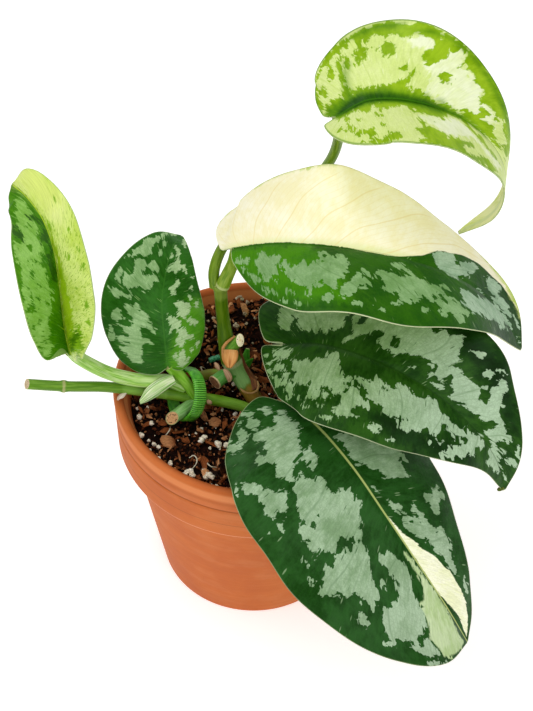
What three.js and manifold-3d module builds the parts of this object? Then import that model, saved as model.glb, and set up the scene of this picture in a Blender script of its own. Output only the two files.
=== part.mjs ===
// A satin pothos (Scindapsus pictus) with silver, lime and cream leaves in a clay pot.
// Millimetres, +Z up. The plant is laid out round the pot's axis, with z = 0 at the pot's foot,
// and the finished group is moved so that the origin is the middle of its box, at the bottom.

import * as THREE from 'three';
import { mergeVertices } from 'three/addons/utils/BufferGeometryUtils.js';
import Module from 'manifold-3d';

const wasm = await Module();
wasm.setup();

// ---- Driving dimensions -------------------------------------------------------------------

const clearance = 0.3;        // left between pieces that touch
const bladeThickness = 0.9;
const edgeRipple = 0.7;       // height of the waves along a blade's edge
const edgeRippleLength = 34;
const footPower = 2.2;        // how far back along the midrib the side veins start

const pot = {
  height: 105.5,
  rimRadius: 60,
  rimStretch: 0.025,          // the rim is this much deeper than it is wide
  bandFootRadius: 58.5,
  bandHeight: 30.5,
  bodyTopRadius: 53.5,
  footRadius: 40,
  wall: 5.5,
  floor: 7,
  lipRadius: 2.2,
  lipThickness: 4.2,
  lipDepth: 7.5,              // how far down the inside the lip thickens into the wall
  drainRadius: 7,
  sides: 48,
};

const mix = {
  level: 96,                  // height of the potting mix above the pot's foot
  sides: 32,
  rings: 5,
  wallGap: 0.5,
  waviness: 1.0,
  bankHeight: 7,              // how much higher the mix lies against the wall at the back
  bankStart: 16,              // where that bank starts and ends, from the pot's axis
  bankEnd: 48,
  barkChips: 32,
  perliteGrains: 22,
};

const bladeRows = 20;         // from the notch at the base to the tip
const bladeColumns = 4;       // from the midrib to each edge
const stemSides = 10;
const stemStep = 5;           // distance between a stem's rings

// ---- Helpers ------------------------------------------------------------------------------

const lerp = THREE.MathUtils.lerp;
const clamp = THREE.MathUtils.clamp;
const radians = THREE.MathUtils.degToRad;

// A smooth value at t, from 0 to 1, through evenly spaced numbers or points.
function along(values, t) {
  if (Array.isArray(values[0])) {
    return values[0].map((_, axis) => along(values.map((value) => value[axis]), t));
  }
  const last = values.length - 1;
  const place = clamp(t, 0, 1) * last;
  const i = Math.min(Math.floor(place), last - 1);
  const f = place - i;
  const b = values[i];
  const c = values[i + 1];
  const a = i > 0 ? values[i - 1] : 2 * b - c;
  const d = i + 2 <= last ? values[i + 2] : 2 * c - b;
  return 0.5 * (2 * b + (c - a) * f + (2 * a - 5 * b + 4 * c - d) * f * f + (3 * b - a - 3 * c + d) * f ** 3);
}

// Repeatable random numbers from 0 to 1.
function seededRandom(seed) {
  let state = seed;
  return () => {
    state = (state + 0x6d2b79f5) | 0;
    let mixed = Math.imul(state ^ (state >>> 15), 1 | state);
    mixed = (mixed + Math.imul(mixed ^ (mixed >>> 7), 61 | mixed)) ^ mixed;
    return ((mixed ^ (mixed >>> 14)) >>> 0) / 4294967296;
  };
}

// A geometry as a manifold solid.
function toSolid(geometry) {
  const bare = geometry.index ? geometry.toNonIndexed() : geometry.clone();
  bare.deleteAttribute('normal');
  bare.deleteAttribute('uv');
  const merged = mergeVertices(bare, 1e-4);
  return new wasm.Manifold(new wasm.Mesh({
    numProp: 3,
    vertProperties: new Float32Array(merged.attributes.position.array),
    triVerts: new Uint32Array(merged.index.array),
  }));
}

// A manifold solid as a geometry. Loose scraps that a cut leaves are dropped.
function toGeometry(solid) {
  const bodies = solid.decompose().sort((a, b) => b.volume() - a.volume());
  const mesh = bodies[0].getMesh();
  const geometry = new THREE.BufferGeometry();
  geometry.setAttribute('position', new THREE.BufferAttribute(new Float32Array(mesh.vertProperties), 3));
  geometry.setIndex([...mesh.triVerts]);
  return geometry;
}

function cutAway(geometry, ...cutters) {
  return toGeometry(cutters.reduce((solid, cutter) => solid.subtract(toSolid(cutter)), toSolid(geometry)));
}

// A solid of revolution about +Z from points of radius and height.
function turned(profile, sides) {
  const points = profile.map(([radius, height]) => new THREE.Vector2(radius, height));
  return new THREE.LatheGeometry(points, sides).rotateX(Math.PI / 2);
}

// ---- Leaf blades --------------------------------------------------------------------------

// The midrib as a fine polyline with its running length, which is 0 at the blade's base.
// The first point of a spine lies behind the base, where the lobes end, and the second is the base.
function traceSpine(spine) {
  const stepsPerSpan = 24;
  const steps = (spine.length - 1) * stepsPerSpan;
  const points = [];
  for (let i = 0; i <= steps; i++) {
    points.push(new THREE.Vector3(...along(spine, i / steps)));
  }
  const lengths = [0];
  for (let i = 1; i <= steps; i++) {
    lengths.push(lengths[i - 1] + points[i].distanceTo(points[i - 1]));
  }
  const atBase = lengths[stepsPerSpan];
  return { points, lengths: lengths.map((length) => length - atBase), length: lengths[steps] - atBase };
}

// The midrib's point and direction at a distance from the base.
function onSpine(trace, distance) {
  const { points, lengths } = trace;
  const last = lengths.length - 1;
  let i = 0;
  while (i < last - 1 && lengths[i + 1] < distance) i++;
  const f = Math.min(1, (distance - lengths[i]) / (lengths[i + 1] - lengths[i]));
  const point = points[i].clone().lerp(points[i + 1], f);
  const before = points[Math.max(0, i - 1)];
  const after = points[Math.min(last, i + 2)];
  return { point, tangent: after.clone().sub(before).normalize() };
}

// The part of a direction that is square to a tangent.
function squareTo(tangent, direction) {
  return new THREE.Vector3(...direction).projectOnPlane(tangent).normalize();
}

// A point of the blade, from its place on the flat leaf: a distance along the midrib, and a
// distance off it to the left (side 1) or to the right (side -1).
function bladePoint(leaf, trace, x, y, side) {
  const t = x / trace.length;
  const { point, tangent } = onSpine(trace, x);
  const normal = squareTo(tangent, along(leaf.faces, t));
  const across = normal.clone().cross(tangent).multiplyScalar(side);
  const fold = radians(along(side > 0 ? leaf.foldLeft : leaf.foldRight, t));
  const curl = radians(along(side > 0 ? leaf.curlLeft : leaf.curlRight, t)) / leaf.halfWidth;
  const bend = Math.abs(curl) < 1e-6 ? 1e-6 : curl;
  const outward = (Math.sin(fold + bend * y) - Math.sin(fold)) / bend;
  const reach = y / leaf.halfWidth;
  const wave = edgeRipple * reach * reach * Math.sin(2 * Math.PI * x / edgeRippleLength + side);
  const upward = (Math.cos(fold) - Math.cos(fold + bend * y)) / bend + wave;
  return point.addScaledVector(across, outward).addScaledVector(normal, upward);
}

// A blade as a closed sheet. Its rows run from the midrib to the edge as the side veins do,
// and both faces are split into the same triangles.
function bladeSolid(leaf) {
  const trace = traceSpine(leaf.spine);
  const columns = 2 * bladeColumns + 1;
  const middle = [];
  for (let row = 0; row <= bladeRows; row++) {
    const u = row / bladeRows;
    const foot = trace.length * u ** footPower;
    for (let column = -bladeColumns; column <= bladeColumns; column++) {
      const side = column < 0 ? -1 : 1;
      const reach = Math.abs(column) / bladeColumns;
      const [edgeX, edgeY] = along(side > 0 ? leaf.left : leaf.right, u);
      const point = bladePoint(leaf, trace, lerp(foot, edgeX, reach), reach * edgeY, side);
      middle.push(point.x, point.y, point.z);
    }
  }
  const faces = [];
  for (let row = 0; row < bladeRows; row++) {
    for (let column = 0; column < columns - 1; column++) {
      const a = row * columns + column;
      faces.push(a, a + columns, a + 1, a + 1, a + columns, a + columns + 1);
    }
  }
  const sheet = new THREE.BufferGeometry();
  sheet.setAttribute('position', new THREE.Float32BufferAttribute(middle, 3));
  sheet.setIndex(faces);
  sheet.computeVertexNormals();

  const count = middle.length / 3;
  const normals = sheet.attributes.normal.array;
  const half = bladeThickness / 2;
  const top = middle.map((value, i) => value + normals[i] * half);
  const bottom = middle.map((value, i) => value - normals[i] * half);
  const rim = [];
  for (let row = 0; row < bladeRows; row++) rim.push(row * columns);
  for (let column = 0; column < columns - 1; column++) rim.push(bladeRows * columns + column);
  for (let row = bladeRows; row > 0; row--) rim.push(row * columns + columns - 1);
  for (let column = columns - 1; column > 0; column--) rim.push(column);
  const index = [...faces];
  for (let i = 0; i < faces.length; i += 3) {
    index.push(count + faces[i], count + faces[i + 2], count + faces[i + 1]);
  }
  rim.forEach((a, i) => {
    const b = rim[(i + 1) % rim.length];
    index.push(a, count + a, b, b, count + a, count + b);
  });
  const solid = new THREE.BufferGeometry();
  solid.setAttribute('position', new THREE.Float32BufferAttribute([...top, ...bottom], 3));
  solid.setIndex(index);
  return solid;
}

// A block over the blade's base, which a petiole is trimmed with, so that it ends just under it.
function blockOverBase(leaf) {
  const trace = traceSpine(leaf.spine);
  const { point, tangent } = onSpine(trace, 0);
  const normal = squareTo(tangent, leaf.faces[0]);
  const width = 20;
  const height = 8;
  const reach = 4;
  const sides = [1, -1].map((side) => bladePoint(leaf, trace, -reach, reach, side).sub(point).dot(normal));
  const block = new THREE.BoxGeometry(width, width, height);
  block.translate(0, 0, height / 2 - bladeThickness / 2 - clearance + Math.min(0, ...sides));
  const turn = new THREE.Quaternion().setFromUnitVectors(new THREE.Vector3(0, 0, 1), normal);
  return block.applyQuaternion(turn).translate(point.x, point.y, point.z);
}

// ---- Stems --------------------------------------------------------------------------------

// A stem is a turned solid whose axis is bent along the route. Its radii are spread evenly from
// start to end. Each ring is a place from 0 to 1, how far it stands out and how wide it is.
// A flattened piece keeps its width along the direction that is named wide.
function stem({ route, radii, rings = [], flat = 1, wide }, grow = 0) {
  const curve = new THREE.CatmullRomCurve3(route.map((point) => new THREE.Vector3(...point)));
  const length = curve.getLength();
  const steps = Math.max(4, Math.round(length / stemStep));
  const frames = curve.computeFrenetFrames(steps, false);
  if (wide) {
    frames.normals = frames.tangents.map((tangent) => squareTo(tangent, wide));
    frames.binormals = frames.tangents.map((tangent, i) => tangent.clone().cross(frames.normals[i]));
  }
  const stations = [];
  for (let i = 0; i <= steps; i++) {
    const t = i / steps;
    const swelling = rings.reduce((sum, [place, height, width]) => (
      sum + height * Math.exp(-(((t - place) * length / width) ** 2))), 0);
    stations.push(new THREE.Vector2(along(radii, t) + swelling, i));
  }
  const profile = [new THREE.Vector2(0, 0), ...stations, new THREE.Vector2(0, steps)];
  const geometry = new THREE.LatheGeometry(profile, stemSides);
  const position = geometry.attributes.position;
  for (let i = 0; i < position.count; i++) {
    const station = Math.round(position.getY(i));
    const centre = curve.getPointAt(station / steps);
    const beyond = station === 0 ? -grow : station === steps ? grow : 0;
    const onWide = position.getZ(i);
    const onNarrow = position.getX(i) * flat;
    const radius = Math.hypot(onWide, onNarrow);
    const larger = radius > 0 ? (radius + grow) / radius : 1;
    centre.addScaledVector(frames.tangents[station], beyond);
    centre.addScaledVector(frames.normals[station], onWide * larger);
    centre.addScaledVector(frames.binormals[station], onNarrow * larger);
    position.setXYZ(i, centre.x, centre.y, centre.z);
  }
  return geometry;
}

// ---- Pot and potting mix ------------------------------------------------------------------

// Inner radius of the pot at a height.
function insideRadius(height) {
  const atFoot = pot.footRadius - pot.wall + 1;
  return lerp(atFoot, pot.rimRadius - pot.wall, clamp(height / (pot.height - pot.lipRadius), 0, 1));
}

function potGeometry() {
  const bandFoot = pot.height - pot.bandHeight;
  const lipCentre = pot.rimRadius - pot.lipThickness / 2;
  const profile = [
    [pot.drainRadius, 0],
    [pot.footRadius - 1.5, 0],
    [pot.footRadius, 1.5],
    [pot.bodyTopRadius, bandFoot],
    [pot.bandFootRadius - 0.8, bandFoot],
    [pot.bandFootRadius, bandFoot + 1.2],
  ];
  const lipSteps = 6;
  for (let i = 0; i <= lipSteps; i++) {
    const angle = Math.PI * i / lipSteps;
    profile.push([
      lipCentre + Math.cos(angle) * pot.lipThickness / 2,
      pot.height - pot.lipRadius + Math.sin(angle) * pot.lipRadius,
    ]);
  }
  profile.push([insideRadius(pot.height - pot.lipDepth), pot.height - pot.lipDepth]);
  profile.push([insideRadius(pot.floor + 2), pot.floor + 2]);
  profile.push([insideRadius(pot.floor) - 2, pot.floor]);
  profile.push([pot.drainRadius, pot.floor]);
  profile.push([pot.drainRadius, 0]);
  const body = turned(profile, pot.sides);
  const position = body.attributes.position;
  for (let i = 0; i < position.count; i++) {
    const share = clamp((position.getZ(i) - bandFoot) / pot.bandHeight, 0, 1);
    position.setY(i, position.getY(i) * (1 + pot.rimStretch * share));
  }
  return body;
}

function mixBank(y) {
  const share = clamp((y - mix.bankStart) / (mix.bankEnd - mix.bankStart), 0, 1);
  return mix.bankHeight * share * share * (3 - 2 * share);
}

// The mix fills the pot. Bark chips and perlite stand out of its top, and what goes into it or
// lies in it has its own hole.
function mixGeometry(holes) {
  const bottom = pot.floor + clearance;
  const wall = (height) => insideRadius(height) - mix.wallGap;
  const profile = [
    [0, bottom],
    [wall(bottom) - 2.5, bottom],
    [wall(bottom + 3), bottom + 3],
    [wall(mix.level), mix.level - 0.5],
  ];
  for (let ring = mix.rings - 1; ring >= 0; ring--) {
    profile.push([wall(mix.level) * ring / mix.rings, mix.level]);
  }
  const body = turned(profile, mix.sides);
  const position = body.attributes.position;
  for (let i = 0; i < position.count; i++) {
    if (position.getZ(i) < mix.level - 1) continue;
    const x = position.getX(i);
    const y = position.getY(i);
    const isEdge = position.getZ(i) < mix.level - 0.1;
    const wave = Math.sin(x * 0.19) * Math.cos(y * 0.23) + 0.5 * Math.sin(x * 0.41 + y * 0.37);
    position.setZ(i, position.getZ(i) + (isEdge ? 0 : mix.waviness * wave) + mixBank(y));
  }
  const random = seededRandom(11);
  const between = (low, high) => lerp(low, high, random());
  const place = (grain, sunk) => {
    const radius = (wall(mix.level) - 6) * Math.sqrt(random());
    const angle = 2 * Math.PI * random();
    grain.rotateX(between(-0.4, 0.4));
    grain.rotateY(between(-0.4, 0.4));
    grain.rotateZ(2 * Math.PI * random());
    const y = radius * Math.sin(angle);
    grain.translate(radius * Math.cos(angle), y, mix.level + sunk + mixBank(y));
    return toSolid(grain);
  };
  const grains = [];
  for (let i = 0; i < mix.barkChips; i++) {
    const chip = new THREE.BoxGeometry(between(6, 12), between(3.5, 6.5), between(2.6, 3.8));
    grains.push(place(chip, between(-0.2, 1)));
  }
  for (let i = 0; i < mix.perliteGrains; i++) {
    const grain = new THREE.OctahedronGeometry(between(1.8, 2.8));
    grains.push(place(grain, between(0.1, 0.8)));
  }
  const solid = wasm.Manifold.union([toSolid(body), ...grains]);
  return cutAway(toGeometry(solid), ...holes);
}

// ---- The plant's measures -----------------------------------------------------------------

// Each leaf has its spine from behind the base to the tip, the way that its upper face looks,
// how far each half is folded up from flat and how much it curls over its width, in degrees, and
// the outline of each half on the flat leaf, from the notch at the base round to the tip.
const leaves = {
  leaf_high_lime: {
    colour: 0x9cc23c,
    halfWidth: 32,
    spine: [
      [20.5, 34.5, 216.5], [27, 36.5, 218.5], [40, 42, 223], [59, 44, 221], [78.5, 43.5, 212.5],
      [92, 42, 198.5], [96.5, 40.5, 183], [93, 39, 169.5], [80, 37.5, 159.5],
    ],
    faces: [[-0.2, 0.1, 0.95], [0.15, -0.1, 1], [0.3, -0.2, 0.95], [0.9, -0.05, 0.4], [0.85, 0.1, -0.55]],
    foldLeft: [9, 24, 19, 2, -4],
    foldRight: [13, 21, 17, 0, -2],
    curlLeft: [-11, -4, -7, -7, -2],
    curlRight: [-21, -9, -7, -8, -2],
    left: [
      [-1.5, 0.8], [-5, 5], [-3.5, 19.5], [10, 29.5], [19.5, 36],
      [46, 29.5], [66.5, 18.5], [91.5, 9], [108.5, 5.5], [122.5, 0.8],
    ],
    right: [
      [-1.5, 0.8], [-6, 5.5], [-2, 21.5], [8, 32.5], [21, 34],
      [43.5, 28.5], [67.5, 18], [91, 6.5], [108.5, 3.5], [122.5, 0.8],
    ],
  },
  leaf_half_cream: {
    colour: 0xb9c46a,
    halfWidth: 38,
    spine: [
      [-16.5, 4.5, 173], [-10.5, 3.5, 177.5], [7, 2, 182.5], [30.5, 0, 183.5],
      [55, -0.5, 179.5], [77, 1.5, 168.5], [94.5, 4, 150], [107.5, 5, 126],
    ],
    faces: [[-0.05, -0.05, 1], [-0.1, 0, 1], [0.15, 0, 1], [0.4, -0.05, 0.9], [0.8, -0.35, 0.5]],
    foldLeft: [7, 21, 12, 6, 13],
    foldRight: [5, 18, 6, 0, 0],
    curlLeft: [-23, -15, -15, -12, 0],
    curlRight: [-35, -28, -26, -19, -2],
    left: [
      [-1.5, 0.8], [-8, 4], [-11, 21.5], [12.5, 36.5], [36, 38.5],
      [61.5, 35.5], [94.5, 26], [127.5, 13], [144.5, 0.8],
    ],
    right: [
      [-1.5, 0.8], [1, 9], [11, 25], [23, 34.5], [37.5, 38.5],
      [69.5, 33.5], [97, 23], [125, 10], [144.5, 0.8],
    ],
  },
  leaf_middle: {
    colour: 0x4f7d45,
    halfWidth: 37,
    spine: [
      [4.5, -8, 136.5], [11, -7.5, 136.5], [27, -11, 140.5], [48, -19.5, 140.5],
      [69, -27.5, 134], [85.5, -34, 121.5], [97, -36.5, 105], [102.5, -38, 87.5],
    ],
    faces: [[0.1, -0.05, 1], [0, -0.1, 1], [-0.05, -0.3, 0.95], [0.25, -0.35, 0.9], [0.25, -0.6, 0.75]],
    foldLeft: [2, 9, 19, 15, 12],
    foldRight: [3, 6, 9, 3, 0],
    curlLeft: [-21, -20, -15, -11, -12],
    curlRight: [-24, -21, -18, -18, -11],
    left: [
      [-1.5, 0.8], [-9, 4], [-9.5, 23], [6, 32.5], [27.5, 37],
      [53.5, 33.5], [84.5, 28], [111.5, 10.5], [123.5, 0.8],
    ],
    right: [
      [-1.5, 0.8], [-10, 2], [-7.5, 22.5], [9, 32.5], [31, 36],
      [54.5, 32], [76, 24], [100, 10], [123.5, 0.8],
    ],
  },
  leaf_front: {
    colour: 0x4c7c3e,
    halfWidth: 38,
    spine: [
      [6.5, -22.5, 122.5], [12.5, -27, 123], [24.5, -37.5, 121.5], [38.5, -52, 115],
      [52.5, -66, 102.5], [66.5, -77, 86], [79, -84, 68], [89, -86.5, 48.5],
    ],
    faces: [[0.05, -0.15, 1], [0.2, -0.25, 0.95], [0.35, -0.45, 0.85], [0.45, -0.45, 0.75], [0.65, -0.4, 0.65]],
    foldLeft: [4, -4, -5, -3, 3],
    foldRight: [8, 1, -2, 1, 11],
    curlLeft: [-21, -26, -26, -20, -13],
    curlRight: [-21, -21, -22, -18, -11],
    left: [
      [-1.5, 0.8], [-10.5, 9], [-8.5, 26.5], [8.5, 39.5], [31.5, 43.5],
      [62.5, 38.5], [92, 27.5], [120, 13], [130, 0.8],
    ],
    right: [
      [-1.5, 0.8], [-11, 7.5], [-8.5, 29], [8, 43], [36, 49],
      [70.5, 46.5], [100.5, 35.5], [122, 17], [130, 0.8],
    ],
  },
  leaf_round: {
    colour: 0x467a3a,
    halfWidth: 23,
    spine: [
      [-36, -12.5, 119.5], [-36.5, -11.5, 126], [-38, -6, 136.5], [-39.5, 3, 147],
      [-38.5, 15, 153.5], [-36.5, 27, 155.5], [-33.5, 37.5, 152],
    ],
    faces: [[0.1, -0.7, 0.7], [0.2, -0.6, 0.8], [0.3, -0.45, 0.85], [0.3, -0.25, 0.9], [0.2, 0, 1]],
    foldLeft: [-11, -4, 5, 7, 12],
    foldRight: [-16, -11, -7, -6, 3],
    curlLeft: [-38, -34, -26, -20, -10],
    curlRight: [-41, -38, -33, -24, -11],
    left: [
      [-1.5, 0.8], [-5, 6], [-4, 16.5], [6, 22.5], [18, 24.5],
      [31, 23.5], [43.5, 17], [55, 8.5], [63.5, 0.8],
    ],
    right: [
      [-1.5, 0.8], [-5, 6.5], [-2, 14], [7, 20], [19, 22.5],
      [30.5, 21], [42.5, 14.5], [55, 7.5], [63.5, 0.8],
    ],
  },
  leaf_folded: {
    colour: 0x9fc25a,
    halfWidth: 25,
    spine: [
      [-71.5, -20, 132], [-75, -16, 136.5], [-77.5, -11, 149.5], [-78.5, -9, 168.5],
      [-79.5, -10, 188], [-82.5, -11.5, 204], [-88, -10.5, 213.5], [-94, -4, 213.5],
    ],
    faces: [[-0.1, -0.9, 0.4], [0.05, -0.95, 0.25], [-0.15, -0.95, 0.25], [-0.3, -0.85, 0.4], [0, -0.9, 0.4]],
    foldLeft: [53, 54, 44, 29, 17],
    foldRight: [60, 55, 41, 18, -4],
    curlLeft: [-4, -4, -7, -8, -2],
    curlRight: [-8, -14, -26, -34, -35],
    left: [
      [-1.5, 0.8], [3, 4], [1.5, 12], [12.5, 17], [23.5, 19.5],
      [39, 17.5], [60.5, 15], [78.5, 10], [89.5, 0.8],
    ],
    right: [
      [-1.5, 0.8], [-5, 5], [-3, 13], [9, 19], [23.5, 20.5],
      [40, 20.5], [60, 16.5], [83, 10], [89.5, 0.8],
    ],
  },
};

// Each stem has its route from its root end, its radii from start to end and its node rings.
const stems = {
  main_stem: {
    colour: 0x6f9a35,
    route: [
      [2.4, -7, 92], [1, -5, 96], [-2, -2, 101], [-7, 3.5, 110],
      [-11, 6.3, 119], [-14, 9, 133], [-15.2, 8.7, 150.5],
    ],
    radii: [2.9, 3.1, 3.7, 3.8, 2.9, 2.8, 3],
    rings: [[0.41, 0.9, 3.2], [0.97, 0.5, 1.2]],
  },
  trailing_vine: {
    colour: 0x6fa03a,
    route: [
      [14, -22, 91], [6, -17.5, 96], [-3.5, -9.8, 99.8], [-11, -8.9, 102], [-20, -9.2, 104.3], [-27, -10, 105.8],
      [-36, -10.5, 108], [-46, -10.7, 110], [-56.5, -10.8, 110.8], [-64, -11.2, 111.6],
      [-78, -13, 113], [-94, -13, 113.5],
    ],
    radii: [2.3, 2.3, 2.3, 2.3, 2.4, 2.4, 2.3, 2.3, 2.2, 2.2, 2.2, 2.2],
    rings: [[0.41, 0.4, 1.5], [0.87, 0.5, 1.1]],
  },
  petiole_high_lime: {
    colour: 0x7f9f35,
    leaf: 'leaf_high_lime',
    route: [
      [-17.5, 9.3, 150.5], [-18.6, 11, 158], [-16.5, 15.5, 165], [-8, 29, 169], [4, 42, 171.5],
      [17, 47.5, 178], [25.5, 47, 190], [27.5, 43.5, 204], [27, 36.8, 218.2],
    ],
    radii: [2.3, 2.2, 2.1, 2.1, 2.1, 2.1, 2.1, 2.1, 2],
  },
  petiole_half_cream: {
    colour: 0x8aa844,
    leaf: 'leaf_half_cream',
    route: [[-13.8, 7.6, 150.5], [-12.6, 8, 158], [-11.3, 6.8, 167], [-10.5, 3.7, 177.2]],
    radii: [2.5, 2.5, 2.3, 1.9],
  },
  petiole_middle: {
    colour: 0x6f9a35,
    leaf: 'leaf_middle',
    route: [[9, 6, 92], [8.5, 4, 104], [6, -2.5, 117], [8, -6, 128], [10.8, -7.5, 136.3]],
    radii: [2.3, 2.2, 2.1, 2.1, 1.9],
  },
  petiole_front: {
    colour: 0x6f9a35,
    leaf: 'leaf_front',
    route: [[19, -13, 92], [17, -18, 103], [14, -24, 114], [12.7, -27, 122.4]],
    radii: [2.3, 2.2, 2.1, 1.9],
  },
  petiole_round: {
    colour: 0x86b846,
    leaf: 'leaf_round',
    route: [[-25, -10.5, 105.5], [-26.9, -9.9, 109.6], [-29.9, -8.6, 114.3], [-33.7, -7.9, 119.1], [-36.4, -10.6, 124.9]],
    radii: [2, 2.1, 2.3, 2.5, 1.8],
  },
  petiole_folded: {
    colour: 0x8fbf4e,
    leaf: 'leaf_folded',
    route: [
      [-30, -8, 109.5], [-36.7, -8.6, 113.8], [-43.7, -10.9, 115.8], [-51.4, -11.2, 116.9],
      [-60, -11.5, 120.1], [-66.5, -12, 124.6], [-72.3, -12.2, 129.5], [-75.3, -14.8, 136.4],
    ],
    radii: [2.4, 2.7, 2.8, 2.9, 2.8, 2.8, 2.7, 2.2],
    rings: [[0.25, 0.15, 0.8]],
  },
  cut_side_shoot: {
    colour: 0x7fa877,
    route: [[-25.5, -11.5, 104.3], [-29.6, -16.4, 105.3], [-34.2, -22, 106]],
    radii: [2.5, 2.6, 2.6],
  },
  new_leaf_sheath: {
    colour: 0xa9c96a,
    route: [[-34.6, -11.6, 118.1], [-38, -13.5, 117.3], [-42.5, -15.6, 114.6], [-47.4, -18, 110.7]],
    radii: [1.4, 2.1, 2, 0.7],
    flat: 0.55,
    wide: [0.56, -0.58, -0.55],
  },
  cut_petiole: {
    colour: 0x7a9c48,
    route: [[-11.6, 2.6, 116.5], [-11, 3.4, 119.5], [-9.4, 4.8, 122.4], [-7.2, 5.8, 125]],
    radii: [2.4, 2.3, 2.2],
  },
  side_stub_near: {
    colour: 0x6f9a4a,
    route: [[-8.5, 2.2, 108.5], [-13.2, 1.2, 107.6], [-17.7, -0.4, 104.6]],
    radii: [2.7, 2.8, 2.6],
  },
  side_stub_far: {
    colour: 0x7d8f4a,
    route: [[-15.5, 4.5, 106.5], [-20, 6.2, 104], [-24.7, 6.8, 101.5]],
    radii: [1.9, 2, 1.8],
  },
};

// ---- Small pieces -------------------------------------------------------------------------

// The soft green tie is a ribbed strap, closed in an oval round the vine, a petiole and a shoot.
const tie = {
  centre: [-27.4, -10.3, 106.7],
  axis: [-0.82, -0.4, 0.41],
  radius: 9.8,
  width: 5,
  thickness: 1.3,
  ribs: 40,
  ribHeight: 0.25,
};

function tieGeometry(grow = 0) {
  const half = tie.width / 2 + grow;
  const inner = tie.radius - tie.thickness - grow;
  const outer = tie.radius + grow;
  const profile = [[inner, -half], [outer, -half], [outer, half], [inner, half], [inner, -half]];
  const geometry = turned(profile, tie.ribs * 2);
  const position = geometry.attributes.position;
  const point = new THREE.Vector3();
  for (let i = 0; i < position.count; i++) {
    point.fromBufferAttribute(position, i);
    const radius = Math.hypot(point.x, point.y);
    if (radius < (inner + outer) / 2) continue;
    const rib = tie.ribHeight * Math.cos(tie.ribs * Math.atan2(point.y, point.x));
    position.setXY(i, point.x * (radius + rib) / radius, point.y * (radius + rib) / radius);
  }
  const up = new THREE.Vector3(0, 0, 1);
  const turn = new THREE.Quaternion().setFromUnitVectors(up, new THREE.Vector3(...tie.axis).normalize());
  return geometry.applyQuaternion(turn).translate(...tie.centre);
}

// A dried bud scale cups the cut petiole and hangs down over the stem.
const budScale = {
  route: [[-11.4, -0.2, 113.5], [-11.9, -0.2, 117], [-12.8, 1, 121], [-12, 3, 124.8]],
  radii: [0.9, 2.9, 3, 1.1],
  flat: 0.35,
  wide: [1, 0, 0],
};

// A brown papery sheath lies along the right of the main stem.
const brownSheath = {
  route: [[4.2, -3.4, 94], [1.2, 0, 100], [-2, 3, 106.5], [-4.6, 4.6, 113], [-6.6, 6.6, 119]],
  radii: [2.4, 2.4, 2.2, 1.8, 0.7],
  flat: 0.5,
  wide: [0.7, -0.7, 0.2],
};

const greenWire = {
  route: [[-21.5, 18.6, 99.6], [-19, 20.2, 99.8], [-16, 21.3, 99.6]],
  radii: [1.2, 1.35, 1.2],
};

const youngShoot = {
  route: [[-5.8, 14.5, 94], [-5.6, 16.5, 99], [-5.2, 19.2, 104]],
  radii: [1.6, 1.7, 0.6],
  flat: 0.5,
  wide: [1, 0, 0],
};

// ---- Assembly -----------------------------------------------------------------------------

const plant = new THREE.Group();

function add(name, geometry, colour, roughness) {
  const material = new THREE.MeshStandardMaterial({ color: colour, roughness, metalness: 0 });
  const mesh = new THREE.Mesh(geometry, material);
  mesh.name = name;
  plant.add(mesh);
}

const grown = (names) => names.map((name) => stem(stems[name], clearance));

// What a stem is cut back by, besides its own leaf: the stem or stub that it grows from.
const grownFrom = {
  petiole_high_lime: ['main_stem'],
  petiole_half_cream: ['main_stem', 'petiole_high_lime'],
  petiole_round: ['trailing_vine'],
  petiole_folded: ['trailing_vine', 'petiole_round'],
  cut_side_shoot: ['trailing_vine', 'petiole_round'],
  new_leaf_sheath: ['petiole_round', 'petiole_folded'],
  cut_petiole: ['main_stem'],
  side_stub_near: ['main_stem'],
  side_stub_far: ['main_stem', 'side_stub_near'],
};

add('pot', potGeometry(), 0xcc7444, 0.85);

const planted = ['main_stem', 'trailing_vine', 'petiole_middle', 'petiole_front', 'side_stub_far'];
const laidIn = [brownSheath, greenWire, youngShoot].map((piece) => stem(piece, clearance));
const holes = [...grown(planted), ...laidIn, tieGeometry(clearance)];
add('potting_mix', mixGeometry(holes), 0x3a241a, 0.95);

for (const [name, leaf] of Object.entries(leaves)) {
  add(name, bladeSolid(leaf), leaf.colour, 0.45);
}

for (const [name, piece] of Object.entries(stems)) {
  const cutters = grown(grownFrom[name] ?? []);
  if (piece.leaf) cutters.push(blockOverBase(leaves[piece.leaf]));
  const geometry = stem(piece);
  add(name, cutters.length ? cutAway(geometry, ...cutters) : geometry, piece.colour, 0.5);
}

add('plant_tie', tieGeometry(), 0x2f8f35, 0.5);
add('bud_scale', cutAway(stem(budScale), ...grown(['main_stem', 'cut_petiole'])), 0xc98a4a, 0.8);
add('brown_sheath', cutAway(stem(brownSheath), ...grown(['main_stem', 'petiole_middle'])), 0x6b4326, 0.8);
add('green_wire', stem(greenWire), 0x2f7f68, 0.4);
add('young_shoot', stem(youngShoot), 0x5f9a3c, 0.5);

plant.updateMatrixWorld(true);
const box = new THREE.Box3().setFromObject(plant);
const centre = box.getCenter(new THREE.Vector3());
plant.position.set(-centre.x, -centre.y, -box.min.z);

export default plant;
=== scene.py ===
import math
import random

import bmesh
import bpy
import numpy as np
from mathutils import Matrix, Vector


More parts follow.
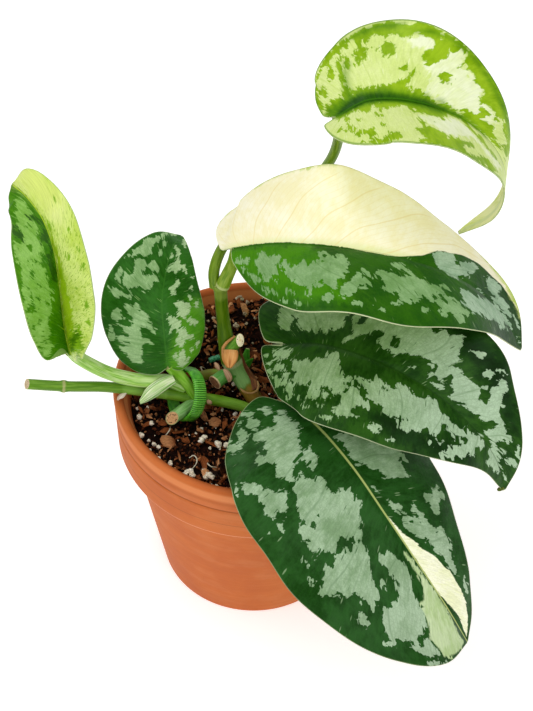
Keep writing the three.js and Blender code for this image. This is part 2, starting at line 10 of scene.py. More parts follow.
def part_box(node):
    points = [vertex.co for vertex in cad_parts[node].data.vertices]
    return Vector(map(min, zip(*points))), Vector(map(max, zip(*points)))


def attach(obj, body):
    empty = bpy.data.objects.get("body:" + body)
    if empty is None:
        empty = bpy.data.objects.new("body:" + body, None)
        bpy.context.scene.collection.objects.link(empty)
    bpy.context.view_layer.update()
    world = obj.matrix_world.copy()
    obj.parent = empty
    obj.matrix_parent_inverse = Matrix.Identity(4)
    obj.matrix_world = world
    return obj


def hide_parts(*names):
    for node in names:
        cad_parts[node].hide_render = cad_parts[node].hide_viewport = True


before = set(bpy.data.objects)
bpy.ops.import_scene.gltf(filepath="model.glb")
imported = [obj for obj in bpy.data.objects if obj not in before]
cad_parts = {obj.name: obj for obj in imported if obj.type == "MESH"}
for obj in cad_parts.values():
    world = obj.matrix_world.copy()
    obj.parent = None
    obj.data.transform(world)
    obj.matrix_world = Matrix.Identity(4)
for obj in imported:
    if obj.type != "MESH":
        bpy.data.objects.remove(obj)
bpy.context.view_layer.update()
print("frame loaded")

millimetre = 0.001
potLow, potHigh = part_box("pot")
potAxis = np.array([(potLow[0] + potHigh[0]) / 2, (potLow[1] + potHigh[1]) / 2, 0.0])


# Places are in millimetres round the pot's axis, with z = 0 at its foot.
def toRow(points):
    return np.asarray(points, dtype=float) * millimetre + potAxis


def smoothThrough(values, place):
    # evenly spaced values, place from 0 to 1
    values = np.asarray(values, dtype=float)
    last = len(values) - 1
    place = np.clip(np.asarray(place, dtype=float), 0, 1) * last
    start = np.minimum(place.astype(int), last - 1)
    part = place - start
    full = np.concatenate([2 * values[:1] - values[1:2], values, 2 * values[-1:] - values[-2:-1]])
    a, b, c, d = full[start], full[start + 1], full[start + 2], full[start + 3]
    if values.ndim > 1:
        part = part[..., None]
    return 0.5 * (2 * b + (c - a) * part + (2 * a - 5 * b + 4 * c - d) * part ** 2
                  + (3 * b - a - 3 * c + d) * part ** 3)


def unit(vectors):
    return vectors / np.linalg.norm(vectors, axis=-1, keepdims=True)


def finishPiece(name, mesher, material, *nodes, slot=None, smooth=True):
    mesh = bpy.data.meshes.new(name)
    mesher.to_mesh(mesh)
    mesher.free()
    piece = bpy.data.objects.new(name, mesh)
    bpy.context.scene.collection.objects.link(piece)
    for one in material if isinstance(material, (list, tuple)) else [material]:
        mesh.materials.append(one)
    if smooth:
        mesh.shade_smooth()
    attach(piece, "root")
    if nodes:
        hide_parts(*nodes)
    return piece


def asLinear(code):
    # a screen colour such as "cd7545" as light
    parts = [int(code[i:i + 2], 16) / 255 for i in (0, 2, 4)]
    return tuple(c / 12.92 if c <= 0.04045 else ((c + 0.055) / 1.055) ** 2.4 for c in parts) + (1.0,)


# Shader helpers.
class Shading:
    def __init__(self, tree):
        self.tree = tree

    def add(self, kind, inputs=None, **settings):
        node = self.tree.nodes.new(kind)
        for key, value in settings.items():
            setattr(node, key, value)
        for key, value in (inputs or {}).items():
            self.feed(node.inputs[key], value)
        return node

    def feed(self, socket, value):
        if isinstance(value, bpy.types.NodeSocket):
            self.tree.links.new(value, socket)
        else:
            socket.default_value = value

    def parts(self, vector):
        return self.add("ShaderNodeSeparateXYZ", {"Vector": vector}).outputs

    def math(self, operation, first, second=None, third=None):
        node = self.tree.nodes.new("ShaderNodeMath")
        node.operation = operation
        for socket, value in zip(node.inputs, (first, second, third)):
            if value is not None:
                self.feed(socket, value)
        return node.outputs[0]

    def mix(self, share, first, second, blend="MIX"):
        node = self.tree.nodes.new("ShaderNodeMix")
        node.data_type = "RGBA"
        node.blend_type = blend
        self.feed(node.inputs[0], share)
        self.feed(node.inputs[6], first)
        self.feed(node.inputs[7], second)
        return node.outputs[2]

    def times(self, first, second):
        return self.math("MULTIPLY", first, second)

    def plus(self, first, second):
        return self.math("ADD", first, second)

    def minus(self, first, second):
        return self.math("SUBTRACT", first, second)

    def reach(self, first, second):
        return self.math("SQRT", self.plus(self.times(first, first), self.times(second, second)))

    def paint(self, under, code, mask, share=None):
        # a screen colour laid over another, where and as far as the mask and share say
        return self.mix(mask if share is None else self.times(mask, share), under, asLinear(code))

    def ramp(self, value, low, high, toLow=0.0, toHigh=1.0, smooth=True):
        node = self.tree.nodes.new("ShaderNodeMapRange")
        node.interpolation_type = "SMOOTHSTEP" if smooth else "LINEAR"
        for socket, one in zip(node.inputs, (value, low, high, toLow, toHigh)):
            self.feed(socket, one)
        return node.outputs[0]

    def attribute(self, name, output="Fac"):
        node = self.tree.nodes.new("ShaderNodeAttribute")
        node.attribute_name = name
        return node.outputs[output]

    def noise(self, vector, scale, detail=2.0, roughness=0.5):
        return self.add("ShaderNodeTexNoise", {"Vector": vector, "Scale": scale, "Detail": detail,
                                               "Roughness": roughness}).outputs["Fac"]

    def stretch(self, vector, scale):
        node = self.add("ShaderNodeMapping", {"Vector": vector, "Scale": scale})
        return node.outputs["Vector"]


def newGroup(name, inputs, outputs):
    group = bpy.data.node_groups.new(name, "ShaderNodeTree")
    for label, kind, value in inputs:
        socket = group.interface.new_socket(name=label, in_out="INPUT", socket_type=kind)
        if value is not None:
            socket.default_value = value
    for label, kind in outputs:
        group.interface.new_socket(name=label, in_out="OUTPUT", socket_type=kind)
    shading = Shading(group)
    given = group.nodes.new("NodeGroupInput").outputs
    return group, shading, given, group.nodes.new("NodeGroupOutput").inputs


def newMaterial(name):
    material = bpy.data.materials.new(name)
    material.use_nodes = True
    shading = Shading(material.node_tree)
    return material, shading, material.node_tree.nodes["Principled BSDF"]


def useGroup(shading, group, **inputs):
    node = shading.tree.nodes.new("ShaderNodeGroup")
    node.node_tree = group
    for label, value in inputs.items():
        shading.feed(node.inputs[label], value)
    return node.outputs


def dress(shading, surface, colour, rough, sheen, relief=None, strength=0.5, depth=0.0005):
    # sets the shader itself: rough is a number or a mask, depth is in metres
    shading.feed(surface.inputs["Base Color"], colour)
    shading.feed(surface.inputs["Roughness"], rough)
    surface.inputs["Specular IOR Level"].default_value = sheen
    if relief is not None:
        bump = shading.add("ShaderNodeBump", {"Height": relief, "Strength": strength, "Distance": depth})
        shading.feed(surface.inputs["Normal"], bump.outputs["Normal"])


# Shared effects.
# A patch with a ragged edge: distance is how far inside it a point is, in millimetres, and veins
# is the place across and along the side veins, which the fragments follow.
raggedPatch, shading, given, result = newGroup(
    "raggedPatch",
    [("distance", "NodeSocketFloat", 0.0), ("veins", "NodeSocketVector", None),
     ("ragged", "NodeSocketFloat", 1.0), ("softness", "NodeSocketFloat", 0.2)],
    [("mask", "NodeSocketFloat")])
warp = shading.add("ShaderNodeTexNoise", {"Vector": given["veins"], "Scale": 0.35, "Detail": 2.0})
warped = shading.add("ShaderNodeVectorMath", {0: given["veins"], 1: warp.outputs["Color"]},
                     operation="ADD").outputs[0]
cells = shading.add("ShaderNodeTexVoronoi", {"Vector": warped, "Scale": 0.9, "Randomness": 1.0})
draws = shading.add("ShaderNodeSeparateColor", {"Color": cells.outputs["Color"]}).outputs
teeth = shading.add("ShaderNodeTexVoronoi", {"Vector": warped, "Scale": 2.1, "Randomness": 1.0})
tooth = shading.add("ShaderNodeSeparateColor", {"Color": teeth.outputs["Color"]}).outputs[0]
fine = shading.noise(given["veins"], 1.4, 3.0, 0.6)
push = shading.times(shading.minus(draws[0], 0.5), 1.9)
push = shading.plus(push, shading.times(shading.minus(tooth, 0.5), 1.0))
push = shading.plus(push, shading.times(shading.minus(fine, 0.5), 1.3))
islands = shading.ramp(draws[1], 0.88, 0.98, 0.0, 1.8)
holes = shading.ramp(draws[2], 0.92, 0.99, 0.0, -1.9)
push = shading.plus(push, shading.plus(islands, holes))
moved = shading.plus(given["distance"], shading.times(push, given["ragged"]))
low = shading.times(given["softness"], -1.0)
shading.feed(result["mask"], shading.ramp(moved, low, given["softness"]))

# Soft uneven tone between two colours.
leafMottle, shading, given, result = newGroup(
    "leafMottle",
    [("first", "NodeSocketColor", None), ("second", "NodeSocketColor", None),
     ("veins", "NodeSocketVector", None), ("plan", "NodeSocketVector", None)],
    [("colour", "NodeSocketColor")])
broad = shading.noise(given["plan"], 0.06, 3.0, 0.55)
streak = shading.noise(given["veins"], 0.55, 4.0, 0.65)
both = shading.plus(shading.times(broad, 0.6), shading.times(streak, 0.4))
shading.feed(result["colour"], shading.mix(shading.ramp(both, 0.4, 0.6), given["first"], given["second"]))

# The fine drawing of a blade: its grain along the veins, short pale hairs, dark dashes, the side
# veins and the net between them.
bladeGrain, shading, given, result = newGroup(
    "bladeGrain",
    [("veinPlan", "NodeSocketVector", None), ("veins", "NodeSocketVector", None),
     ("plan", "NodeSocketVector", None), ("veinCount", "NodeSocketFloat", 11.0),
     ("sweep", "NodeSocketFloat", 0.0)],
    [("tone", "NodeSocketFloat"), ("hairs", "NodeSocketFloat"), ("dashes", "NodeSocketFloat"),
     ("lines", "NodeSocketFloat"), ("net", "NodeSocketFloat")])
streaks = shading.noise(shading.stretch(given["veins"], (2.4, 0.6, 1.0)), 1.0, 4.0, 0.7)
shading.feed(result["tone"], shading.ramp(streaks, 0.3, 0.7, 0.84, 1.16, smooth=False))
thin = shading.add("ShaderNodeTexVoronoi", {"Vector": shading.stretch(given["veins"], (1.5, 0.42, 1.0)),
                                            "Scale": 1.0})
draws = shading.add("ShaderNodeSeparateColor", {"Color": thin.outputs["Color"]}).outputs
stroke = shading.ramp(thin.outputs["Distance"], 0.26, 0.12)
shading.feed(result["hairs"], shading.times(stroke, shading.ramp(draws[0], 0.8, 0.84)))
shading.feed(result["dashes"], shading.times(stroke, shading.ramp(draws[1], 0.86, 0.9)))
across = shading.parts(given["veinPlan"])
sway = shading.times(shading.noise(given["plan"], 0.035, 1.0), 0.8)
phase = shading.plus(shading.times(across["X"], given["veinCount"]), sway)
phase = shading.minus(phase, shading.times(across["Y"], given["sweep"]))
main = shading.math("ABSOLUTE", shading.math("SINE", shading.times(phase, math.pi)))
small = shading.math("ABSOLUTE", shading.math("SINE", shading.times(phase, math.pi * 6)))
lines = shading.math("MAXIMUM", shading.ramp(main, 0.1, 0.02), shading.ramp(small, 0.3, 0.05, 0.0, 0.45))
shading.feed(result["lines"], shading.times(lines, shading.ramp(across["Y"], 0.97, 0.8)))
net = shading.add("ShaderNodeTexVoronoi", {"Vector": shading.stretch(given["plan"], (0.55, 0.8, 1.0)),
                                           "Scale": 1.0, "Randomness": 1.0},
                  feature="DISTANCE_TO_EDGE").outputs["Distance"]
shading.feed(result["net"], shading.ramp(net, 0.12, 0.02))

# The relief of a blade: side veins, a sunk midrib and the fine grain of the skin.
bladeRelief, shading, given, result = newGroup(
    "bladeRelief",
    [("veinPlan", "NodeSocketVector", None), ("plan", "NodeSocketVector", None),
     ("veinCount", "NodeSocketFloat", 11.0)],
    [("height", "NodeSocketFloat")])
run = shading.parts(given["veinPlan"])["X"]
off = shading.parts(given["plan"])["Y"]
sway = shading.times(shading.noise(given["plan"], 0.09, 2.0), 0.5)
phase = shading.plus(shading.times(run, given["veinCount"]), sway)
ridge = shading.math("ABSOLUTE", shading.math("SINE", shading.times(phase, math.pi)))
ridge = shading.math("POWER", ridge, 0.6)
groove = shading.ramp(shading.math("ABSOLUTE", off), 0.0, 2.4)
skin = shading.noise(given["plan"], 1.1, 3.0, 0.6)
waves = shading.noise(given["plan"], 0.13, 3.0, 0.5)
height = shading.plus(shading.times(ridge, 0.3), shading.times(groove, 0.55))
height = shading.plus(height, shading.times(skin, 0.14))
shading.feed(result["height"], shading.plus(height, shading.times(waves, 1.2)))

# Fibres along a stem: place is the length, in millimetres, and the way round as cosine and sine.
stemFibres, shading, given, result = newGroup(
    "stemFibres",
    [("place", "NodeSocketVector", None), ("fineness", "NodeSocketFloat", 1.0)],
    [("stripes", "NodeSocketFloat"), ("blotches", "NodeSocketFloat"), ("height", "NodeSocketFloat")])
long = shading.stretch(given["place"], (0.03, 1.0, 1.0))
scale = shading.times(given["fineness"], 3.4)
stripes = shading.add("ShaderNodeTexNoise", {"Vector": long, "Scale": scale, "Detail": 3.0,
                                             "Roughness": 0.6}).outputs["Fac"]
blotches = shading.noise(shading.stretch(given["place"], (0.12, 0.8, 0.8)), 1.0, 2.0, 0.5)
shading.feed(result["stripes"], shading.ramp(stripes, 0.32, 0.68))
shading.feed(result["blotches"], shading.ramp(blotches, 0.4, 0.66))
shading.feed(result["height"], stripes)
print("shared effects made")

# Leaves.
bladeLook = {
    "thickness": 0.55,
    "relief": 0.0009,       # metres
    "spineSteps": 24,
    "outlineSteps": 80,
    "ripple": 0.7,
    "rippleLength": 34,
    "fragmentLength": 3.0,  # fragments of colour are this much longer along the veins
    "perimeter": 120,       # millimetres that the side veins are spread over
    "sideShift": 40,        # keeps the drawing of the two halves apart
}

# The shape of each leaf is the source's. Layers of colour lie over each other in their order,
# with their patches drawn on the flat leaf: millimetres along the midrib and off it, left positive.
# The green band along the midrib lies on a wider lime one.
highLimeBand = [(-3, 1), (-3, 4), (-1, 7), (0.5, 5.5), (2, 7), (3.5, 5.5), (6, 6.5), (7.2, 5), (9.4, 12),
                (11, 18), (12, 21), (12.6, 19), (11, 14), (10, 9), (10, 5), (13, 5), (17, 4), (20, 5),
                (24, 4), (28, 3.6), (35, 3), (38, 2.2), (42, 1), (45, 2), (50, 1.4), (56, 1), (62, 0.8),
                (66, 0), (58, -0.6), (50, -1), (46, -2), (44, -4), (38, -5), (34, -5), (30, -5.5), (27, -4.6),
                (20, -4.6), (12, -4.4), (8, -3.4), (3, -3.2), (0, -2.6), (-1, -0.5)]
highLimeLeaf = {
    "node": "leaf_high_lime", "slot": "lime_leaf", "cells": (150, 84), "footPower": 2.2, "veins": 9,
    "halfWidth": 32,
    "spine": [(20.5, 34.5, 216.5), (27, 36.5, 218.5), (40, 42, 223), (59, 44, 221), (78.5, 43.5, 212.5),
              (92, 42, 198.5), (96.5, 40.5, 183), (93, 39, 169.5), (80, 37.5, 159.5)],
    "faces": [(-0.2, 0.1, 0.95), (0.15, -0.1, 1), (0.3, -0.2, 0.95), (0.9, -0.05, 0.4), (0.85, 0.1, -0.55)],
    "foldLeft": [9, 24, 19, 2, -4], "foldRight": [13, 21, 17, 0, -2],
    "curlLeft": [-11, -4, -7, -7, -2], "curlRight": [-21, -9, -7, -8, -2],
    "left": [(-1.5, 0.8), (-5, 5), (-3.5, 19.5), (10, 29.5), (19.5, 36), (46, 29.5), (66.5, 18.5), (91.5, 9),
             (108.5, 5.5), (122.5, 0.8)],
    "right": [(-1.5, 0.8), (-6, 5.5), (-2, 21.5), (8, 32.5), (21, 34), (43.5, 28.5), (67.5, 18), (91, 6.5),
              (108.5, 3.5), (122.5, 0.8)],
    "ground": ("cfe184", "dbe99a"), "under": ("f2f4bc", "d2de78"), "rim": "5a8c08", "midrib": "3f7a00",
    "fine": {"hair": "eef4cc", "hairShare": 0.5, "vein": "b4cc5c", "veinShare": 0.35, "netShare": 0.15,
             "grainShare": 0.5, "ribHalf": 0.6, "ribShare": 0.5, "rimWidth": 0.9, "rimShare": 0.7},
    "layers": [
        {"name": "paleArea", "colours": ("e0ebb0", "ecf3cc"), "ragged": 1.2, "softness": 0.9, "shapes": [
            [(36, 4), (36, 14), (33, 16), (36, 20), (42, 24), (42, 28), (47, 28), (48, 21), (56, 18),
             (57, 11), (62, 12), (66, 11), (66, 4), (60, 4), (52, 3), (44, 2)],
            [(32, -12), (36, -17), (44, -19), (52, -14), (60, -8), (72, -6), (80, -4), (76, -10), (66, -10),
             (56, -5), (48, -3), (42, -9)],
            [(28, 26), (34, 28), (37, 26), (36, 23), (30, 22)],
        ]},
        {"name": "limeArea", "colours": ("7ea602", "98bc1e"), "ragged": 0.85, "softness": 0.3, "shapes": [
            [(-5, 5), (-5, 20), (0, 23), (6, 25), (11, 29), (15, 33), (20, 35), (30, 33), (45, 30),
             (55, 25.5), (66, 19), (80, 12.5), (84, 11), (80, 4), (74, 2.5), (79, 9), (72, 10), (70, 12),
             (65, 11), (60, 11), (56, 11), (57, 16), (52, 18), (51, 20), (45, 19), (47, 24), (46, 28),
             (42, 27), (41, 21), (37, 17), (33, 17), (34, 21), (37, 23), (36, 27), (31, 29), (29, 26),
             (25, 29), (22, 27), (20, 30), (16, 26), (14.5, 30), (12, 27), (9, 26), (4, 23.5), (0, 22),
             (-2, 18), (-3, 10), (-3, 6)],
            [(-2.5, 16), (-2, 18.5), (0, 18), (2.5, 18.5), (3, 15), (2, 12.5), (0.5, 12.5), (-0.5, 15)],
            [(6.3, 17.5), (7, 21), (8, 25), (9, 21), (8.5, 18)],
            [(11, 18), (11.5, 24), (12.5, 28), (13, 22), (12, 17.5)],
            [(13.8, 17), (14.5, 23), (16.5, 27), (18, 24), (16, 20), (15, 17)],
            [(19.8, 20), (21, 24), (23, 26), (25, 24), (24.5, 20), (22, 18.5)],
            [(26, 13), (27, 15.5), (28.5, 16), (29, 13), (27.5, 12.5)],
            [(22, 5), (25, 7), (29, 10), (31.5, 14), (32, 12), (30, 8), (28, 5.5), (35, 5.5), (35, 3),
             (24, 3)],
            [(38.5, 12), (41, 14.5), (44.5, 15), (44.5, 10), (42, 10.5)],
            [(57.3, 7), (58, 10), (63, 10), (64.3, 9), (62.5, 7), (60, 6)],
            [(50.5, 2.5), (54, 4.8), (60, 4.2), (63, 6), (66, 5), (67.5, 4), (71, 3), (75, 1.8), (60, 0.6),
             (50, 1)],
            [(8.3, -4), (8.7, -7), (10, -9.8), (12.5, -9.2), (14, -6.5), (15.5, -9), (16.8, -12), (18, -9),
             (20, -10.2), (21, -8), (22.5, -9.2), (25, -8.2), (25.2, -4.5)],
            [(12.8, -11.5), (13.6, -15.8), (15.5, -15.2), (14.2, -12)],
            [(12, -22), (14, -20.3), (16.5, -21.5), (16.7, -23.2), (13.5, -23.8)],
            [(5.3, -10.8), (6, -13), (6.5, -11.2)],
            [(2.5, -5), (3.5, -8), (2.8, -12), (3, -16), (1, -18), (0.5, -14), (1.5, -10), (1.7, -6)],
            [(-2, -13), (0, -16), (2, -20), (5, -25), (7.5, -25.5), (7.5, -21), (5, -20), (3, -17.5),
             (2, -19), (0, -13), (-1, -9)],
            [(27, -5), (29.5, -9), (31, -12), (33, -16), (36, -18.2), (40, -19.5), (44, -20), (48, -19),
             (50, -17.5), (53, -15), (57, -13), (58, -14.5), (54, -18), (51, -21), (53, -22), (57, -20.5),
             (61, -17), (65, -14), (70, -12), (76, -11.5), (72, -16), (65, -19.5), (55, -24), (45, -28.5),
             (36, -31), (30, -32), (30, -29), (33, -27.5), (32, -25), (29.5, -23), (33, -21), (33, -19.5),
             (30.5, -13), (29.5, -10.5), (33, -10), (37, -9), (42, -7.8), (44, -6), (46, -4), (48, -2.3),
             (52, -2), (55, -4), (60, -5.5), (66, -7.5), (72, -6.5), (77, -5), (72, -5), (66, -5), (63, -3),
             (58, -2.5), (55, -0.5), (30, -2)],
            [(7, -30), (10, -29), (14, -30), (17, -28), (21, -27.3), (22.5, -29.5), (20, -32.5), (14, -34),
             (9, -33), (4, -28), (1, -24), (3, -26)],
            [(38.5, -13), (39.5, -13.5), (38.7, -14.2)],
            [(96, -4), (104, -3.5), (112, -2), (120, -0.8), (118, 1.2), (112, 1), (106, -1), (98, -2)],
            [(x, round(1.3 * y, 1)) for x, y in highLimeBand],
        ]},
        {"name": "greenBand", "colours": ("4c7c04", "649408"), "ragged": 0.2, "softness": 2.2, "shapes": [
            highLimeBand,
            [(30, 29), (33, 30.5), (38, 30.5), (45, 29), (52, 25.5), (60, 21), (68, 17), (78, 13), (74, 13),
             (66, 15.5), (60, 18), (54, 23), (48, 26.5), (42, 28.5), (36, 29)],
            [(14, 31), (17, 34), (22, 34.5), (28, 33.3), (26, 31.5), (20, 32.5), (17, 31)],
            [(35, 3.2), (37, 4.1), (37.6, 3.2)], [(41.3, 3), (43.4, 3.9), (43.6, 2.7)],
        ]},
        {"name": "deepBand", "colours": ("1c4a00", "2e6002"), "ragged": 0.12, "softness": 1.5, "shapes": [
            [(0, 0.8), (4, 3), (10, 3.4), (18, 2.8), (26, 2), (36, 1.4), (44, 0.7), (52, 0.4), (44, -0.6),
             (34, -2.6), (26, -3), (16, -2.8), (8, -2), (2, -0.6)],
        ]},
    ],
}

